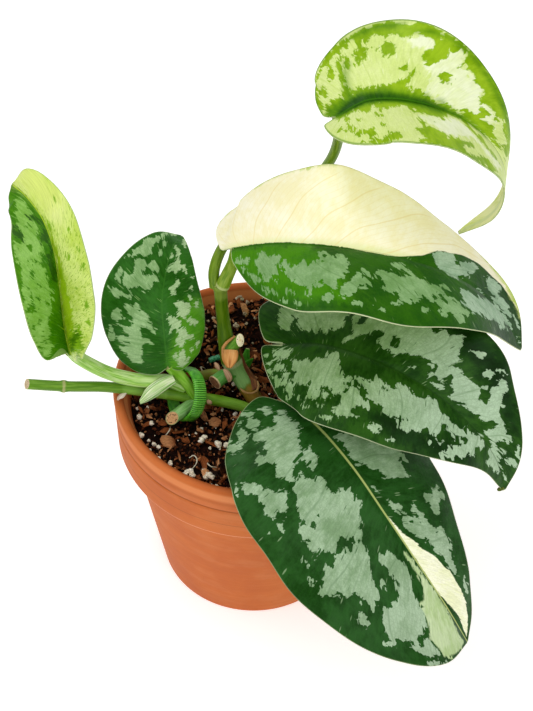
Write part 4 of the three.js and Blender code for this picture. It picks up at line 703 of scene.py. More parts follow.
roundLeaf = {
    "node": "leaf_round", "slot": "silver_leaf", "cells": (110, 72), "footPower": 2.6, "veins": 8,
    "halfWidth": 23,
    "spine": [(-36, -12.5, 119.5), (-36.5, -11.5, 126), (-38, -6, 136.5), (-39.5, 3, 147), (-38.5, 15, 153.5),
              (-36.5, 27, 155.5), (-33.5, 37.5, 152)],
    "faces": [(0.1, -0.7, 0.7), (0.2, -0.6, 0.8), (0.3, -0.45, 0.85), (0.3, -0.25, 0.9), (0.2, 0, 1)],
    "foldLeft": [-11, -4, 5, 7, 12], "foldRight": [-16, -11, -7, -6, 3],
    "curlLeft": [-38, -34, -26, -20, -10], "curlRight": [-41, -38, -33, -24, -11],
    "left": [(-1.5, 0.8), (-5, 6), (-4, 16.5), (6, 22.5), (18, 24.5), (31, 23.5), (43.5, 17), (55, 8.5),
             (63.5, 0.8)],
    "right": [(-1.5, 0.8), (-5, 6.5), (-2, 14), (7, 20), (19, 22.5), (30.5, 21), (42.5, 14.5), (55, 7.5),
              (63.5, 0.8)],
    "ground": ("1c5008", "2f6a1c"), "under": ("94ae7c", "7f9c69"), "rim": "c8d8a4", "midrib": "3f7a24",
    "fine": {"hair": "98c070", "hairShare": 0.6, "vein": "38701f", "veinShare": 0.2, "netShare": 0.12,
             "grainShare": 0.9, "ribHalf": 0.5, "ribShare": 0.4, "rimWidth": 0.35, "rimShare": 0.5},
    "layers": [
        {"name": "brightBase", "colours": ("468a12", "5a9a22"), "ragged": 0.8, "softness": 3.0, "shapes": [
            [(-2, -0.5), (-7, -6), (-2, -16), (8, -22), (22, -24), (34, -20), (30, -12), (14, -6), (4, -1.5)],
        ]},
        # The silver lightens towards the right half: painted light.
        {"name": "silver", "colours": ("7fa468", "a3c48c"), "ragged": 0.5, "softness": 0.14,
         "paintedLight": ("Y", 2, -8, "c4dca8", 0.6), "vein": ("487c34", 0.35), "dash": ("2c6214", 0.75),
         "shapes": [
            [(1, 11), (1.5, 14), (3, 16), (5.5, 16.5), (7, 18.5), (9, 19), (9.5, 16.5), (10, 14),
             (10.5, 17.5), (11.5, 20), (13.5, 19.5), (14.5, 17), (13, 15), (15, 14), (16.5, 16.5), (18.5, 16),
             (17.5, 13.5), (19, 12.5), (20.5, 12), (22, 13), (24.5, 14.5), (26, 15.5), (25.5, 13.5),
             (24.5, 11.5), (26, 10.5), (24, 8.5), (23, 7), (21, 5.5), (18.5, 5), (17.5, 4), (14, 3.5),
             (15.5, 5.5), (17, 7), (18, 9), (16, 8.5), (13, 9), (12, 6.5), (10, 5), (10.5, 8), (8.5, 9.5),
             (6, 9.5), (5, 11), (3.5, 10), (2, 9.5)],
            [(11.5, 20.5), (12, 23), (14, 23.5), (17, 22.5), (19, 21.5), (17.5, 20), (15, 20.2)],
            [(20, 18), (21, 20), (23, 21), (24, 19), (24.5, 17), (23, 16.5), (21, 15.5), (20.5, 16.5)],
            [(26.5, 12), (27, 15), (27.5, 18), (28.5, 21), (29.5, 21.5), (29.5, 18), (28.5, 15), (28, 12)],
            [(30, 15), (31, 17), (32.5, 16.5), (35, 16), (34.5, 14), (35, 12), (38, 13), (40.5, 13), (41, 10),
             (40, 8), (42, 6.5), (42.5, 5), (39, 3), (37.5, 5), (38.5, 8), (36, 10), (35.5, 8), (35.5, 5.5),
             (37, 3.5), (34.5, 2), (34, 4), (31.5, 5), (30, 7), (31, 9.5), (30, 12)],
            [(31.5, 20), (33, 18), (36.5, 17.5), (36.5, 19), (34, 19.2), (32.5, 20.3)],
            [(39.5, 18.5), (41, 17.5), (42, 16), (40.5, 16)],
            [(41, 15), (44, 14.5), (45.5, 13), (48, 12), (50, 11), (52, 8.5), (54, 6.5), (57, 6), (58.5, 5),
             (55, 4.8), (52, 5.5), (49.5, 7), (47, 8), (44, 8), (42.5, 10), (43, 12.5)],
            [(44.5, 4), (46, 5), (48.5, 4.5), (48, 3.5), (45.5, 3.2)],
            [(50, 4), (52, 4.5), (53, 3), (51, 2.8)],
            [(57, 4), (60, 5), (62, 3), (63, 1.5), (60, 1.5)],
            [(-3.5, -6.5), (-2, -5), (0.5, -4.5), (1.5, -3.5), (2, -5.5), (4, -6), (5.5, -8), (3, -8.5),
             (0, -8.5), (1, -10), (-1, -10.5), (-3, -9)],
            [(2.5, -3), (3.5, -2.8), (4, -4), (3, -4.6)], [(5.5, -6.5), (8, -5), (10.5, -6.5), (9, -9.3),
                                                           (7.4, -9)],
            [(8.5, -5), (10, -5), (12, -6.5), (14.5, -5.5), (15, -4), (13, -3), (12.8, -2), (16, -3),
             (19, -2.5), (21.5, -1.8), (22, -3), (19.5, -4), (20, -5.5), (18.5, -6), (17.5, -8), (14, -8),
             (14.5, -10), (12, -10.5), (10.5, -12), (9.8, -14), (8.5, -13), (8.8, -11), (10, -8)],
            [(18, -10.5), (20, -8), (21, -6), (23.5, -7.5), (26, -5.5), (28, -7), (27.5, -9), (28.5, -11),
             (27.5, -13.5), (25, -14.2), (23, -13), (20, -13), (19.5, -11)],
            [(14.5, -15), (15.5, -12), (17, -11), (18.5, -12.5), (17.5, -14), (16.5, -17), (15, -17.5)],
            [(30, -4), (32, -3), (33, -2.5), (33.5, -4), (37, -4.5), (38.5, -6), (37, -7), (34, -6),
             (31, -5.5)],
            [(39, -0.5), (41, 0), (43.5, -1.5), (45, -3), (49, -3), (52, -1), (54, -0.8), (52.5, -3.5),
             (50, -4.5), (47, -4.5), (45, -6), (47.5, -7), (48, -8.5), (45.5, -8), (43.5, -9.5), (42, -9),
             (43.5, -7), (42, -5.5), (39, -4.5), (40.5, -3), (39.5, -1.5)],
            [(29.5, -13.5), (32, -12), (33, -10.5), (32.5, -13), (31, -14.2)],
            [(34.5, -12.5), (36, -11.8), (38, -12.8), (36, -14)],
            [(41, -11), (43, -11), (43, -13), (41.5, -12.5)],
            [(23.5, -17), (26, -16), (31, -16.5), (31, -17.8), (26, -17.8)],
            [(2.5, -11.5), (4, -11), (4, -13), (2.8, -12.8)],
            [(3, -15), (5, -14), (6.5, -15.5), (5.5, -17), (4, -16)],
            [(45.5, -0.5), (49, -0.5), (48, -1.2)], [(56, -3), (60, -2), (62.5, -0.5), (60, -4), (56, -5)],
        ]},
    ],
}

foldedLeaf = {
    "node": "leaf_folded", "slot": "folded_leaf", "cells": (130, 72), "footPower": 4, "veins": 8,
    "halfWidth": 25,
    "spine": [(-71.5, -20, 132), (-75, -16, 136.5), (-77.5, -11, 149.5), (-78.5, -9, 168.5),
              (-79.5, -10, 188), (-82.5, -11.5, 204), (-88, -10.5, 213.5), (-94, -4, 213.5)],
    "faces": [(-0.1, -0.9, 0.4), (0.05, -0.95, 0.25), (-0.15, -0.95, 0.25), (-0.3, -0.85, 0.4),
              (0, -0.9, 0.4)],
    "foldLeft": [53, 54, 44, 29, 17], "foldRight": [60, 55, 41, 18, -4],
    "curlLeft": [-4, -4, -7, -8, -2], "curlRight": [-8, -14, -26, -34, -35],
    "left": [(-1.5, 0.8), (3, 4), (1.5, 12), (12.5, 17), (23.5, 19.5), (39, 17.5), (60.5, 15), (84.5, 7.2),
             (89.5, 0.8)],
    "right": [(-1.5, 0.8), (-5, 5), (-3, 13), (9, 19), (23.5, 20.5), (40, 20.5), (60, 16.5), (83, 10),
              (89.5, 0.8)],
    "ground": ("2f6c00", "4c8804"), "under": ("b4c982", "a0ba68"), "rim": "a8c372", "midrib": "bcd634",
    "fine": {"hair": "8cc25c", "hairShare": 0.6, "vein": "5a9410", "veinShare": 0.3, "netShare": 0.1,
             "grainShare": 0.9, "ribHalf": 0.8, "ribShare": 0.85, "rimWidth": 0.4, "rimShare": 0.4},
    "layers": [
        {"name": "limeHalf", "colours": ("bad454", "d4e680"), "ragged": 0.3, "softness": 0.2,
         "specks": ("84ac12", 0.8, 0.58), "vein": ("a0c234", 0.3), "dash": ("84b012", 0.7), "shapes": [
            [(-6, -0.3), (91, -0.3), (91, -12), (60, -24), (30, -26), (0, -24), (-12, -10)],
        ]},
        {"name": "paleTip", "colours": ("cfde74", "dae68c"), "ragged": 0.8, "softness": 4.0, "shapes": [
            [(70, -3), (90, -0.8), (90, -10), (74, -12), (67, -8)],
        ]},
        {"name": "yellowBand", "colours": ("86b004", "9cc01c"), "ragged": 1.0, "softness": 1.0, "shapes": [
            [(-2, -0.6), (-2, -3), (6, -8), (14, -9), (24, -8), (32, -6), (40, -5), (48, -4), (58, -3),
             (66, -2.6), (70, -1), (60, -0.6)],
        ]},
        {"name": "greenBase", "colours": ("6a9c08", "86b418"), "ragged": 1.3, "softness": 0.9, "shapes": [
            [(1.5, -3), (1.5, -10), (4, -15), (8, -17), (10, -14), (14, -15), (19, -12.5), (15, -9), (11, -6),
             (6, -3.5)],
            [(60, -0.6), (62, -2), (67, -2.7), (70, -1)],
        ]},
        {"name": "flecks", "colours": ("6f9f10", "86b41c"), "ragged": 0.5, "softness": 0.5, "shapes": [
            [(22.5, -15.5), (25, -18), (22, -19)], [(29, -16), (33, -15.3), (35, -17), (31, -18.3)],
            [(50, -15.3), (53, -15.8), (51, -16.6)],
            [(52, -7.8), (55, -9), (53, -9.6)], [(58, -12.6), (60, -13.4), (58.4, -14)],
            [(74, -8), (76.5, -9), (75, -9.6)],
            [(38, -11), (39.5, -12), (38, -12.6)], [(44, -17), (46, -17.6), (44.5, -18.4)],
            [(65, -10), (67, -10.4), (66, -11.2)],
        ]},
        {"name": "deepBase", "colours": ("3c6e02", "507f08"), "ragged": 1.1, "softness": 1.0, "shapes": [
            [(2, -3.6), (3, -7), (7, -10), (12, -12), (15, -11.5), (11, -8), (7, -5), (4, -3.6)],
        ]},
        {"name": "sheen", "colours": ("76aa3c", "90be5e"), "ragged": 0.9, "softness": 0.3,
         "vein": ("3f7c10", 0.35), "dash": ("2c6800", 0.75), "shapes": [
            [(2.5, 10), (3, 13), (8, 15), (12, 16.5), (18, 18.8), (24, 19.3), (29, 18.5), (28.5, 16),
             (29, 14), (33, 14), (36, 14), (39.5, 14), (38, 13), (34, 13.5), (32, 15), (31.5, 18.5),
             (35, 17.8), (40, 16.5), (45, 15), (50, 14.3), (56, 14.3), (62, 13.5), (60, 11), (66, 10),
             (72, 9.5), (76, 8), (80, 6), (84, 3), (78, 2), (70, 3.4), (66, 3), (60, 4.5), (55, 4), (52, 5),
             (47, 6.5), (42, 5), (38, 5), (33, 4.6), (28, 5.4), (22, 6.5), (20, 8), (16, 9), (12, 8),
             (10, 10), (6, 8)],
        ], "holes": [
            [(6, 13.6), (8.5, 14.5), (7, 12.8)], [(20, 13), (22, 14.5), (23, 13.5), (21, 12.6)],
            [(25.5, 6.8), (28.5, 8.7), (29.2, 7.6), (27, 6.3)], [(42, 10.4), (45, 11.7), (45.2, 10.5)],
            [(48, 9.8), (50, 11.6), (51.7, 11), (49.5, 9.6)],
            [(44, 5), (48, 7.2), (51.7, 9.2), (49, 6.3), (45, 4)],
            [(7.5, 7), (8.5, 11), (11, 13), (10.5, 11), (9, 8)],
            [(14, 13), (16.5, 13.8), (15.5, 12.4)], [(30, 11), (33.5, 12), (33, 10.6)],
            [(36, 8.4), (38.6, 9.2), (38, 7.8)],
            [(55, 8.6), (58.5, 10), (58, 8.2)], [(66, 6.6), (70, 7.6), (69, 6)],
            [(20, 17), (22.5, 17.6), (22, 16.2)],
        ]},
        {"name": "deepBand", "colours": ("225002", "2f5f04"), "ragged": 0.8, "softness": 0.3, "shapes": [
            [(34, 1.2), (38, 3), (44, 4), (49, 3), (52, 1.2), (55, 1.2), (58, 4), (62, 4.6), (62, 2.4),
             (66, 1), (70, 3), (74, 4.6), (73, 3), (69, 1), (60, 0.6), (44, 0.6)],
            [(60, 10.2), (62, 11.5), (66, 12), (70, 13), (74, 12), (77, 10.5), (70, 10)],
        ]},
    ],
}


def traceSpine(spine):
    # the blade starts at the second point, and lengths are counted from there
    between = bladeLook["spineSteps"]
    points = smoothThrough(spine, np.linspace(0, 1, (len(spine) - 1) * between + 1))
    lengths = np.concatenate([[0], np.cumsum(np.linalg.norm(np.diff(points, axis=0), axis=1))])
    lengths = lengths - lengths[between]
    return points, lengths, unit(np.gradient(points, axis=0))


def onSpine(trace, distance):
    points, lengths, tangents = trace
    start = np.clip(np.searchsorted(lengths, distance) - 1, 0, len(lengths) - 2)
    part = np.minimum(1, (distance - lengths[start]) / (lengths[start + 1] - lengths[start]))[:, None]
    turn = np.clip(part, 0, 1)
    point = points[start] + (points[start + 1] - points[start]) * part
    return point, unit(tangents[start] * (1 - turn) + tangents[start + 1] * turn)


def bladePoints(leaf, trace, x, y, side):
    # the place in space of points of the flat leaf, side by side
    place = x / trace[1][-1]
    point, tangent = onSpine(trace, x)
    facing = smoothThrough(leaf["faces"], place)
    normal = unit(facing - tangent * np.sum(facing * tangent, axis=1, keepdims=True))
    across = np.cross(normal, tangent) * side[:, None]
    isLeft = side > 0
    fold, curl = [np.radians(np.where(isLeft, smoothThrough(leaf[turn + "Left"], place),
                                      smoothThrough(leaf[turn + "Right"], place)))
                  for turn in ("fold", "curl")]
    bend = curl / leaf["halfWidth"]
    bend = np.where(np.abs(bend) < 1e-6, 1e-6, bend)
    outward = (np.sin(fold + bend * y) - np.sin(fold)) / bend
    wave = np.sin(2 * np.pi * x / bladeLook["rippleLength"] + side)
    wave = bladeLook["ripple"] * (y / leaf["halfWidth"]) ** 2 * wave
    upward = (np.cos(fold) - np.cos(fold + bend * y)) / bend + wave
    return point + across * outward[:, None] + normal * upward[:, None]


def distanceInside(places, shapes, holes=()):
    # signed distance into the shapes, in millimetres, positive inside
    def one(shape):
        corners = np.array(shape, dtype=float)
        ends = np.roll(corners, -1, axis=0)
        nearest = np.full(len(places), 1e9)
        inside = np.zeros(len(places), dtype=bool)
        for a, b in zip(corners, ends):
            edge = b - a
            share = np.clip((places - a) @ edge / max(edge @ edge, 1e-9), 0, 1)
            nearest = np.minimum(nearest, np.hypot(*(places - a - share[:, None] * edge).T))
            crosses = (a[1] > places[:, 1]) != (b[1] > places[:, 1])
            rise = edge[1] if edge[1] else 1e-9
            inside ^= crosses & (places[:, 0] < edge[0] * (places[:, 1] - a[1]) / rise + a[0])
        return np.where(inside, nearest, -nearest)
    depth = np.max([one(shape) for shape in shapes], axis=0)
    for hole in holes:
        depth = np.minimum(depth, -one(hole))
    return depth


def outlineOf(leaf):
    halves = []
    for side, name in ((1, "left"), (-1, "right")):
        half = smoothThrough(leaf[name], np.linspace(0, 1, bladeLook["outlineSteps"]))
        halves.append(half * (1, side))
    return np.vstack([halves[0], halves[1][::-1]])


def mottled(shading, tones, veins, plan):
    first, second = [asLinear(tone) for tone in tones]
    return useGroup(shading, leafMottle, first=first, second=second, veins=veins, plan=plan)["colour"]


def bladeMaterial(leaf):
    name = leaf["node"]
    material, shading, surface = newMaterial(name + "_upper")
    plan = shading.attribute("leafPlan", "Vector")
    veinPlan = shading.attribute("veinPlan", "Vector")
    veins = shading.attribute("veinPlace", "Vector")
    grain = useGroup(shading, bladeGrain, veinPlan=veinPlan, veins=veins, plan=plan, veinCount=leaf["veins"],
                     sweep=leaf.get("sweep", 0.0))
    planParts = shading.parts(plan)
    off = shading.math("ABSOLUTE", planParts["Y"])
    fine = leaf["fine"]
    calm = None

    def withPaintedLight(tone, paintedLight):
        # painted light and shade: a lighter or darker tone that comes in over a stretch of the blade
        axis, start, end, target, share = paintedLight
        way = shading.times(shading.ramp(planParts[axis], start, end), share)
        return shading.mix(way, tone, asLinear(target))
    colour = mottled(shading, leaf["ground"], veins, plan)
    if "paintedLight" in leaf:
        colour = withPaintedLight(colour, leaf["paintedLight"])
    colour = shading.paint(colour, fine["vein"], grain["lines"], fine["veinShare"])
    colour = shading.paint(colour, fine["vein"], grain["net"], fine["netShare"])
    colour = shading.paint(colour, fine["hair"], grain["hairs"], fine["hairShare"])
    for layer in leaf["layers"]:
        distance = shading.attribute(layer["name"])
        mask = useGroup(shading, raggedPatch, distance=distance, veins=veins, ragged=layer["ragged"],
                        softness=layer["softness"])["mask"]
        tone = mottled(shading, layer["colours"], veins, plan)
        if "paintedLight" in layer:
            tone = withPaintedLight(tone, layer["paintedLight"])
        if "foot" in layer:
            # greener towards the midrib
            near = shading.times(shading.ramp(off, 4.5, 0.2), layer["foot"][1])
            tone = shading.paint(tone, layer["foot"][0], near)
        if "vein" in layer:
            netShare = 0.0 if "calm" in layer else 0.5
            drawn = shading.math("MAXIMUM", grain["lines"], shading.times(grain["net"], netShare))
            tone = shading.paint(tone, layer["vein"][0], drawn, layer["vein"][1])
        if "dash" in layer:
            tone = shading.paint(tone, layer["dash"][0], grain["dashes"], layer["dash"][1])
        if "specks" in layer:
            specks = shading.ramp(shading.noise(veins, 1.5, 2.0, 0.5), layer["specks"][2],
                                  layer["specks"][2] + 0.04)
            tone = shading.paint(tone, layer["specks"][0], specks, layer["specks"][1])
        if "calm" in layer:
            calm = shading.times(mask, layer["calm"])
        colour = shading.mix(mask, colour, tone)
    grainShare = fine["grainShare"]
    height = useGroup(shading, bladeRelief, veinPlan=veinPlan, plan=plan, veinCount=leaf["veins"])["height"]
    if calm is not None:
        lively = shading.minus(1.0, calm)
        grainShare = shading.times(lively, grainShare)
        height = shading.times(lively, height)
    colour = shading.mix(grainShare, colour, grain["tone"], "MULTIPLY")
    run = shading.parts(veinPlan)["X"]
    ribHalf = shading.ramp(run, 0.0, 1.0, fine["ribHalf"], fine["ribHalf"] * 0.35, smooth=False)
    rib = shading.ramp(shading.math("DIVIDE", off, ribHalf), 1.3, 0.6)
    colour = shading.paint(colour, leaf["midrib"], rib, fine["ribShare"])
    edge = shading.ramp(shading.attribute("inFromEdge"), fine["rimWidth"], fine["rimWidth"] * 0.3)
    colour = shading.paint(colour, leaf["rim"], edge, fine["rimShare"])
    wear = shading.noise(plan, 0.16, 3.0, 0.6)
    dress(shading, surface, colour, shading.ramp(wear, 0.3, 0.7, 0.3, 0.44), 0.09, height, 0.5,
          bladeLook["relief"])
    return material


def bladeBack(leaf):
    material, shading, surface = newMaterial(leaf["node"] + "_under")
    plan = shading.attribute("leafPlan", "Vector")
    veins = shading.attribute("veinPlace", "Vector")
    colour = mottled(shading, leaf["under"], veins, plan)
    rib = shading.ramp(shading.math("ABSOLUTE", shading.parts(plan)["Y"]), 1.6, 0.3)
    colour = shading.paint(colour, "cbd8a2", rib, 0.6)
    rough = shading.ramp(shading.noise(veins, 0.4), 0.3, 0.7, 0.5, 0.62)
    height = useGroup(shading, bladeRelief, veinPlan=shading.attribute("veinPlan", "Vector"), plan=plan,
                      veinCount=leaf["veins"])["height"]
    dress(shading, surface, colour, rough, 0.2, height, 0.45, bladeLook["relief"])
    return material


def bladeRim(leaf):
    material, shading, surface = newMaterial(leaf["node"] + "_rim")
    tone = shading.noise(shading.attribute("leafPlan", "Vector"), 0.4, 2.0)
    dress(shading, surface, shading.mix(tone, asLinear(leaf["rim"]), asLinear(leaf["under"][0])), 0.5, 0.5)
    return material


def addLeaf(leaf):
    trace = traceSpine(leaf["spine"])
    length = trace[1][-1]
    mesher = bmesh.new()
    rows, columns = leaf["cells"]
    bmesh.ops.create_grid(mesher, x_segments=rows, y_segments=columns, size=1)
    vectors = {name: mesher.verts.layers.float_vector.new(name)
               for name in ("leafPlan", "veinPlan", "veinPlace")}
    scalars = [layer["name"] for layer in leaf["layers"]] + ["inFromEdge"]
    layers = {name: mesher.verts.layers.float.new(name) for name in scalars}
    vertices = list(mesher.verts)
    flat = np.array([vertex.co[:2] for vertex in vertices])
    run = (flat[:, 0] + 1) / 2
    side = np.where(flat[:, 1] < -1e-6, -1.0, 1.0)
    reach = np.abs(flat[:, 1])
    edge = np.where(side[:, None] > 0, smoothThrough(leaf["left"], run), smoothThrough(leaf["right"], run))
    foot = length * run ** leaf["footPower"]
    x = foot + (edge[:, 0] - foot) * reach
    y = reach * edge[:, 1]
    places = bladePoints(leaf, trace, x, y, side)
    plan = np.stack([x, y * side], axis=1)
    values = {layer["name"]: distanceInside(plan, layer["shapes"], layer.get("holes", ()))
              for layer in leaf["layers"]}
    values["inFromEdge"] = distanceInside(plan, [outlineOf(leaf)])
    veinReach = np.hypot(edge[:, 0] - foot, edge[:, 1]) * reach / bladeLook["fragmentLength"]
    for i, (vertex, place) in enumerate(zip(vertices, toRow(places))):
        vertex.co = place
        vertex[vectors["leafPlan"]] = (x[i], y[i] * side[i], 0)
        vertex[vectors["veinPlan"]] = (run[i], reach[i], side[i])
        vertex[vectors["veinPlace"]] = (run[i] * bladeLook["perimeter"], veinReach[i],
                                        side[i] * bladeLook["sideShift"])
        for name, depth in values.items():
            vertex[layers[name]] = depth[i]
    middle = vertices[len(vertices) // 2]
    mesher.normal_update()
    facing = smoothThrough(leaf["faces"], 0.5)
    if Vector(facing).dot(middle.normal) < 0:
        bmesh.ops.reverse_faces(mesher, faces=mesher.faces)
    skins = [bladeMaterial(leaf), bladeBack(leaf), bladeRim(leaf)]
    leafPiece = finishPiece(leaf["node"] + "_blade", mesher, skins, leaf["node"], slot=leaf["slot"])
    wall = leafPiece.modifiers.new("thickness", "SOLIDIFY")
    wall.thickness = bladeLook["thickness"] * millimetre
    wall.offset = 0
    wall.use_rim = True
    wall.material_offset = 1
    wall.material_offset_rim = 2


for leaf in (highLimeLeaf, halfCreamLeaf, middleLeaf, frontLeaf, roundLeaf, foldedLeaf):
    addLeaf(leaf)
    print("leaf made:", leaf["node"])

# Stems.
# In the plan of a stem, its skin lies planRadius from the middle.
stemLook = {"sides": 28, "step": 0.8, "slantLength": 5.0, "planRadius": 3.0}

# Routes and radii are the source's. Rings are place, height and width, as on a node of the vine.
stems = {
    "main_stem": {
        "route": [(2.4, -7, 92), (1, -5, 96), (-2.5, -2, 101), (-9.2, 3.5, 110), (-12.7, 6.3, 119),
                  (-14.9, 9, 133), (-16.4, 8.8, 153.6)],
        "radii": [3.2, 3.4, 3.7, 3.6, 2.8, 2.65, 2.8],
        "rings": [(0.41, 0.9, 3.2), (0.975, 0.45, 1.0), (0.50, 0.25, 0.5), (0.2, 0.25, 0.7)],
        "colours": ("3b5e00", "5b7e00", "748f14"), "flecks": 0.1, "slot": "green_stem",
        "zones": [(-2, 15, 1.6, "a0702c", 0.85), (2, 10, 2.5, "5c3c14", 0.5), (16, 28, 1.2, "8cbc70", 0.9),
                  (26, 28.5, 0.4, "d0d0a0", 0.6), (62, 70, 1.2, "9cb04c", 0.5)],
    },
    "trailing_vine": {
        "route": [(14, -22, 91), (6, -17.5, 96), (-3.5, -9.8, 99.8), (-11, -8.9, 102), (-20, -9.2, 104.3),
                  (-27, -10, 105.8), (-36, -10.5, 108), (-46, -10.7, 110), (-56.5, -10.8, 110.8),
                  (-64, -11.2, 111.6), (-78, -13, 113), (-94, -13, 113.5)],
        "radii": [2.3, 2.3, 2.3, 2.3, 2.4, 2.4, 2.3, 2.3, 2.2, 2.2, 2.2, 2.2],
        "rings": [(0.41, 0.4, 1.5), (0.87, 0.5, 1.1), (0.425, 0.25, 0.5), (0.57, 0.4, 7)],
        "colours": ("4a7a00", "689616", "84ac3a"), "slot": "green_stem", "cut": "tan",
        "slant": (-0.85, -0.3, 0.4),
        "zones": [(0, 36, 3.0, "74a034", 0.6), (99.8, 100.8, 0.4, "b9b27a", 0.8),
                  (116.8, 119, 0.5, "8a6438", 0.85),
                  (58, 76, 1.0, "90c052", 0.5), (43, 45.5, 0.5, "d9c49a", 0.8)],
    },
    "petiole_high_lime": {
        "route": [(-18.4, 9.3, 151.3), (-18.9, 11, 158), (-16.5, 15.5, 165), (-8, 29, 169), (5, 42, 170.5),
                  (20, 47.5, 177), (26.2, 47, 188), (28.6, 44.5, 201), (27.3, 36.8, 217.6)],
        "radii": [2.3, 2.2, 2.1, 2.1, 2.1, 2.1, 2.1, 2.1, 2], "flecks": 0.1,
        "colours": ("567806", "7a981c", "93ac3c"), "slot": "petiole",
    },
    "petiole_half_cream": {
        "route": [(-15.3, 7.8, 153.2), (-13.4, 8, 159), (-11.3, 6.8, 167), (-10.5, 3.7, 176.6)],
        "radii": [2.9, 2.6, 2.3, 1.9], "flecks": 0.1, "zones": [(-1, 1.2, 0.4, "c4cc8a", 0.8)],
        "colours": ("62880a", "86a626", "b0c258"), "slot": "petiole",
    },
    "petiole_middle": {
        "route": [(9, 6, 92), (8.5, 4, 104), (6, -2.5, 117), (8, -6, 128), (10.8, -7.5, 135.6)],
        "radii": [2.3, 2.2, 2.1, 2.1, 1.9],
        "colours": ("5f8a14", "7da233", "a3b85a"), "slot": "petiole",
    },
    "petiole_front": {
        "route": [(19, -13, 92), (17, -18, 103), (14, -24, 114), (12.7, -27, 121.8)],
        "radii": [2.3, 2.2, 2.1, 1.9],
        "colours": ("6f8f20", "93a840", "b8b65c"), "slot": "petiole",
    },
    "petiole_round": {
        "route": [(-25, -10.5, 105.5), (-26.9, -9.9, 109.6), (-29.9, -8.6, 114.3), (-33.7, -7.9, 119.1),
                  (-36.4, -10.6, 124.9)],
        "radii": [2, 2.1, 2.3, 2.5, 1.8],
        "colours": ("72b41e", "90cc3a", "b0dc66"), "flecks": 0.05, "contrast": 0.25, "slot": "petiole",
    },
    "petiole_folded": {
        "route": [(-30, -8, 109.5), (-36.7, -8.6, 113.8), (-43.7, -10.9, 115.8), (-51.4, -11.2, 116.9),
                  (-60, -11.5, 120.1), (-66.5, -12, 124.6), (-72.3, -12.2, 129.5), (-75.3, -14.8, 136)],
        "radii": [2.4, 2.7, 2.8, 2.9, 2.8, 2.8, 2.7, 2.2],
        "colours": ("6ca822", "b4de70", "e2f2b8"), "contrast": 1.0, "flecks": 0.15, "slot": "petiole",
    },
    "cut_side_shoot": {
        "route": [(-25.5, -11.5, 104.3), (-29.6, -16.4, 105.3), (-34.2, -22, 106)],
        "radii": [2.5, 2.6, 2.6], "slant": (-0.33, -0.75, 0.57),
        "colours": ("5c9440", "86b56c", "a5c98e"), "contrast": 1.0, "slot": "cut_stem", "cut": "dark",
    },
    "new_leaf_sheath": {
        "route": [(-34.0, -11.4, 118.3), (-38, -13.5, 117.3), (-42.5, -15.6, 114.6), (-47.4, -18, 110.7)],
        "radii": [2.0, 2.8, 2.7, 0.9], "sides": 14,
        "flat": 0.5, "wide": (0.56, -0.58, -0.55), "slant": (-0.9, 0.1, -0.4),
        "colours": ("4c9c08", "f4f6d4", "8cc43c"), "contrast": 1.0, "slot": "leaf_sheath", "fineness": 0.36,
        "cut": "green",
    },
    "cut_petiole": {
        "route": [(-13.0, 3.2, 117.4), (-11.4, 4.1, 121.4), (-9.4, 4.4, 123.9), (-7.7, 4.3, 126.0)],
        "radii": [2.5, 2.5, 2.4, 2.4], "slant": (0.754, -0.434, 0.493),
        "colours": ("4f8a14", "74a834", "92bc54"), "slot": "cut_stem", "cut": "pale",
    },
    "side_stub_near": {
        "route": [(-8, 1.7, 109), (-11.1, 2.2, 107.8), (-14.3, 1.3, 107), (-17.8, -1.2, 105.8)],
        "radii": [2.7, 2.9, 3.0, 2.9], "slant": (-0.66, -0.7, -0.1), "rings": [(0.96, 0.3, 0.8)],
        "colours": ("3f8a28", "5fa044", "80b266"), "slot": "cut_stem", "cut": "brown",
        "zones": [(10.7, 13, 0.25, "e2bc94", 0.9)],
    },
    "side_stub_far": {
        "route": [(-15.5, 4.5, 105.4), (-20, 6.2, 103), (-24.2, 6.8, 100.8)],
        "radii": [1.9, 2.2, 2.2],
        "colours": ("6f8f1c", "8ba432", "8a6a3c"), "slot": "cut_stem", "cut": "brown",
        "zones": [(3, 12, 1.5, "7a5428", 0.5)],
    },
    "young_shoot": {
        "route": [(-6.4, 14.3, 94), (-6.0, 14.8, 99), (-5.3, 15.4, 104.6), (-4.7, 16.6, 108.4)],
        "radii": [1.9, 2.2, 1.8, 0.9],
        "flat": 0.45, "wide": (1, 0, 0),
        "colours": ("2f8a14", "4fa62c", "7cbc50"), "slot": "green_stem",
    },
}


class CurvedRoute:
    # a smooth curve through points, measured by its length

    def __init__(self, points):
        points = np.asarray(points, dtype=float)
        points = np.vstack([2 * points[0] - points[1], points, 2 * points[-1] - points[-2]])
        fine = []
        for i in range(1, len(points) - 2):
            a, b, c, d = points[i - 1:i + 3]
            first, middle, last = [max(np.linalg.norm(q - p) ** 0.5, 1e-4)
                                   for p, q in ((a, b), (b, c), (c, d))]
            start = ((b - a) / first - (c - a) / (first + middle) + (c - b) / middle) * middle
            end = ((c - b) / middle - (d - b) / (middle + last) + (d - c) / last) * middle
            for t in np.linspace(0, 1, 40, endpoint=i == len(points) - 3):
                fine.append(b + start * t + (3 * (c - b) - 2 * start - end) * t ** 2
                            + (2 * (b - c) + start + end) * t ** 3)
        self.points = np.array(fine)
        self.lengths = np.concatenate([[0], np.cumsum(np.linalg.norm(np.diff(self.points, axis=0), axis=1))])
        self.length = self.lengths[-1]

    def at(self, places):
        along = np.asarray(places) * self.length
        return np.stack([np.interp(along, self.lengths, self.points[:, k]) for k in range(3)], axis=-1)


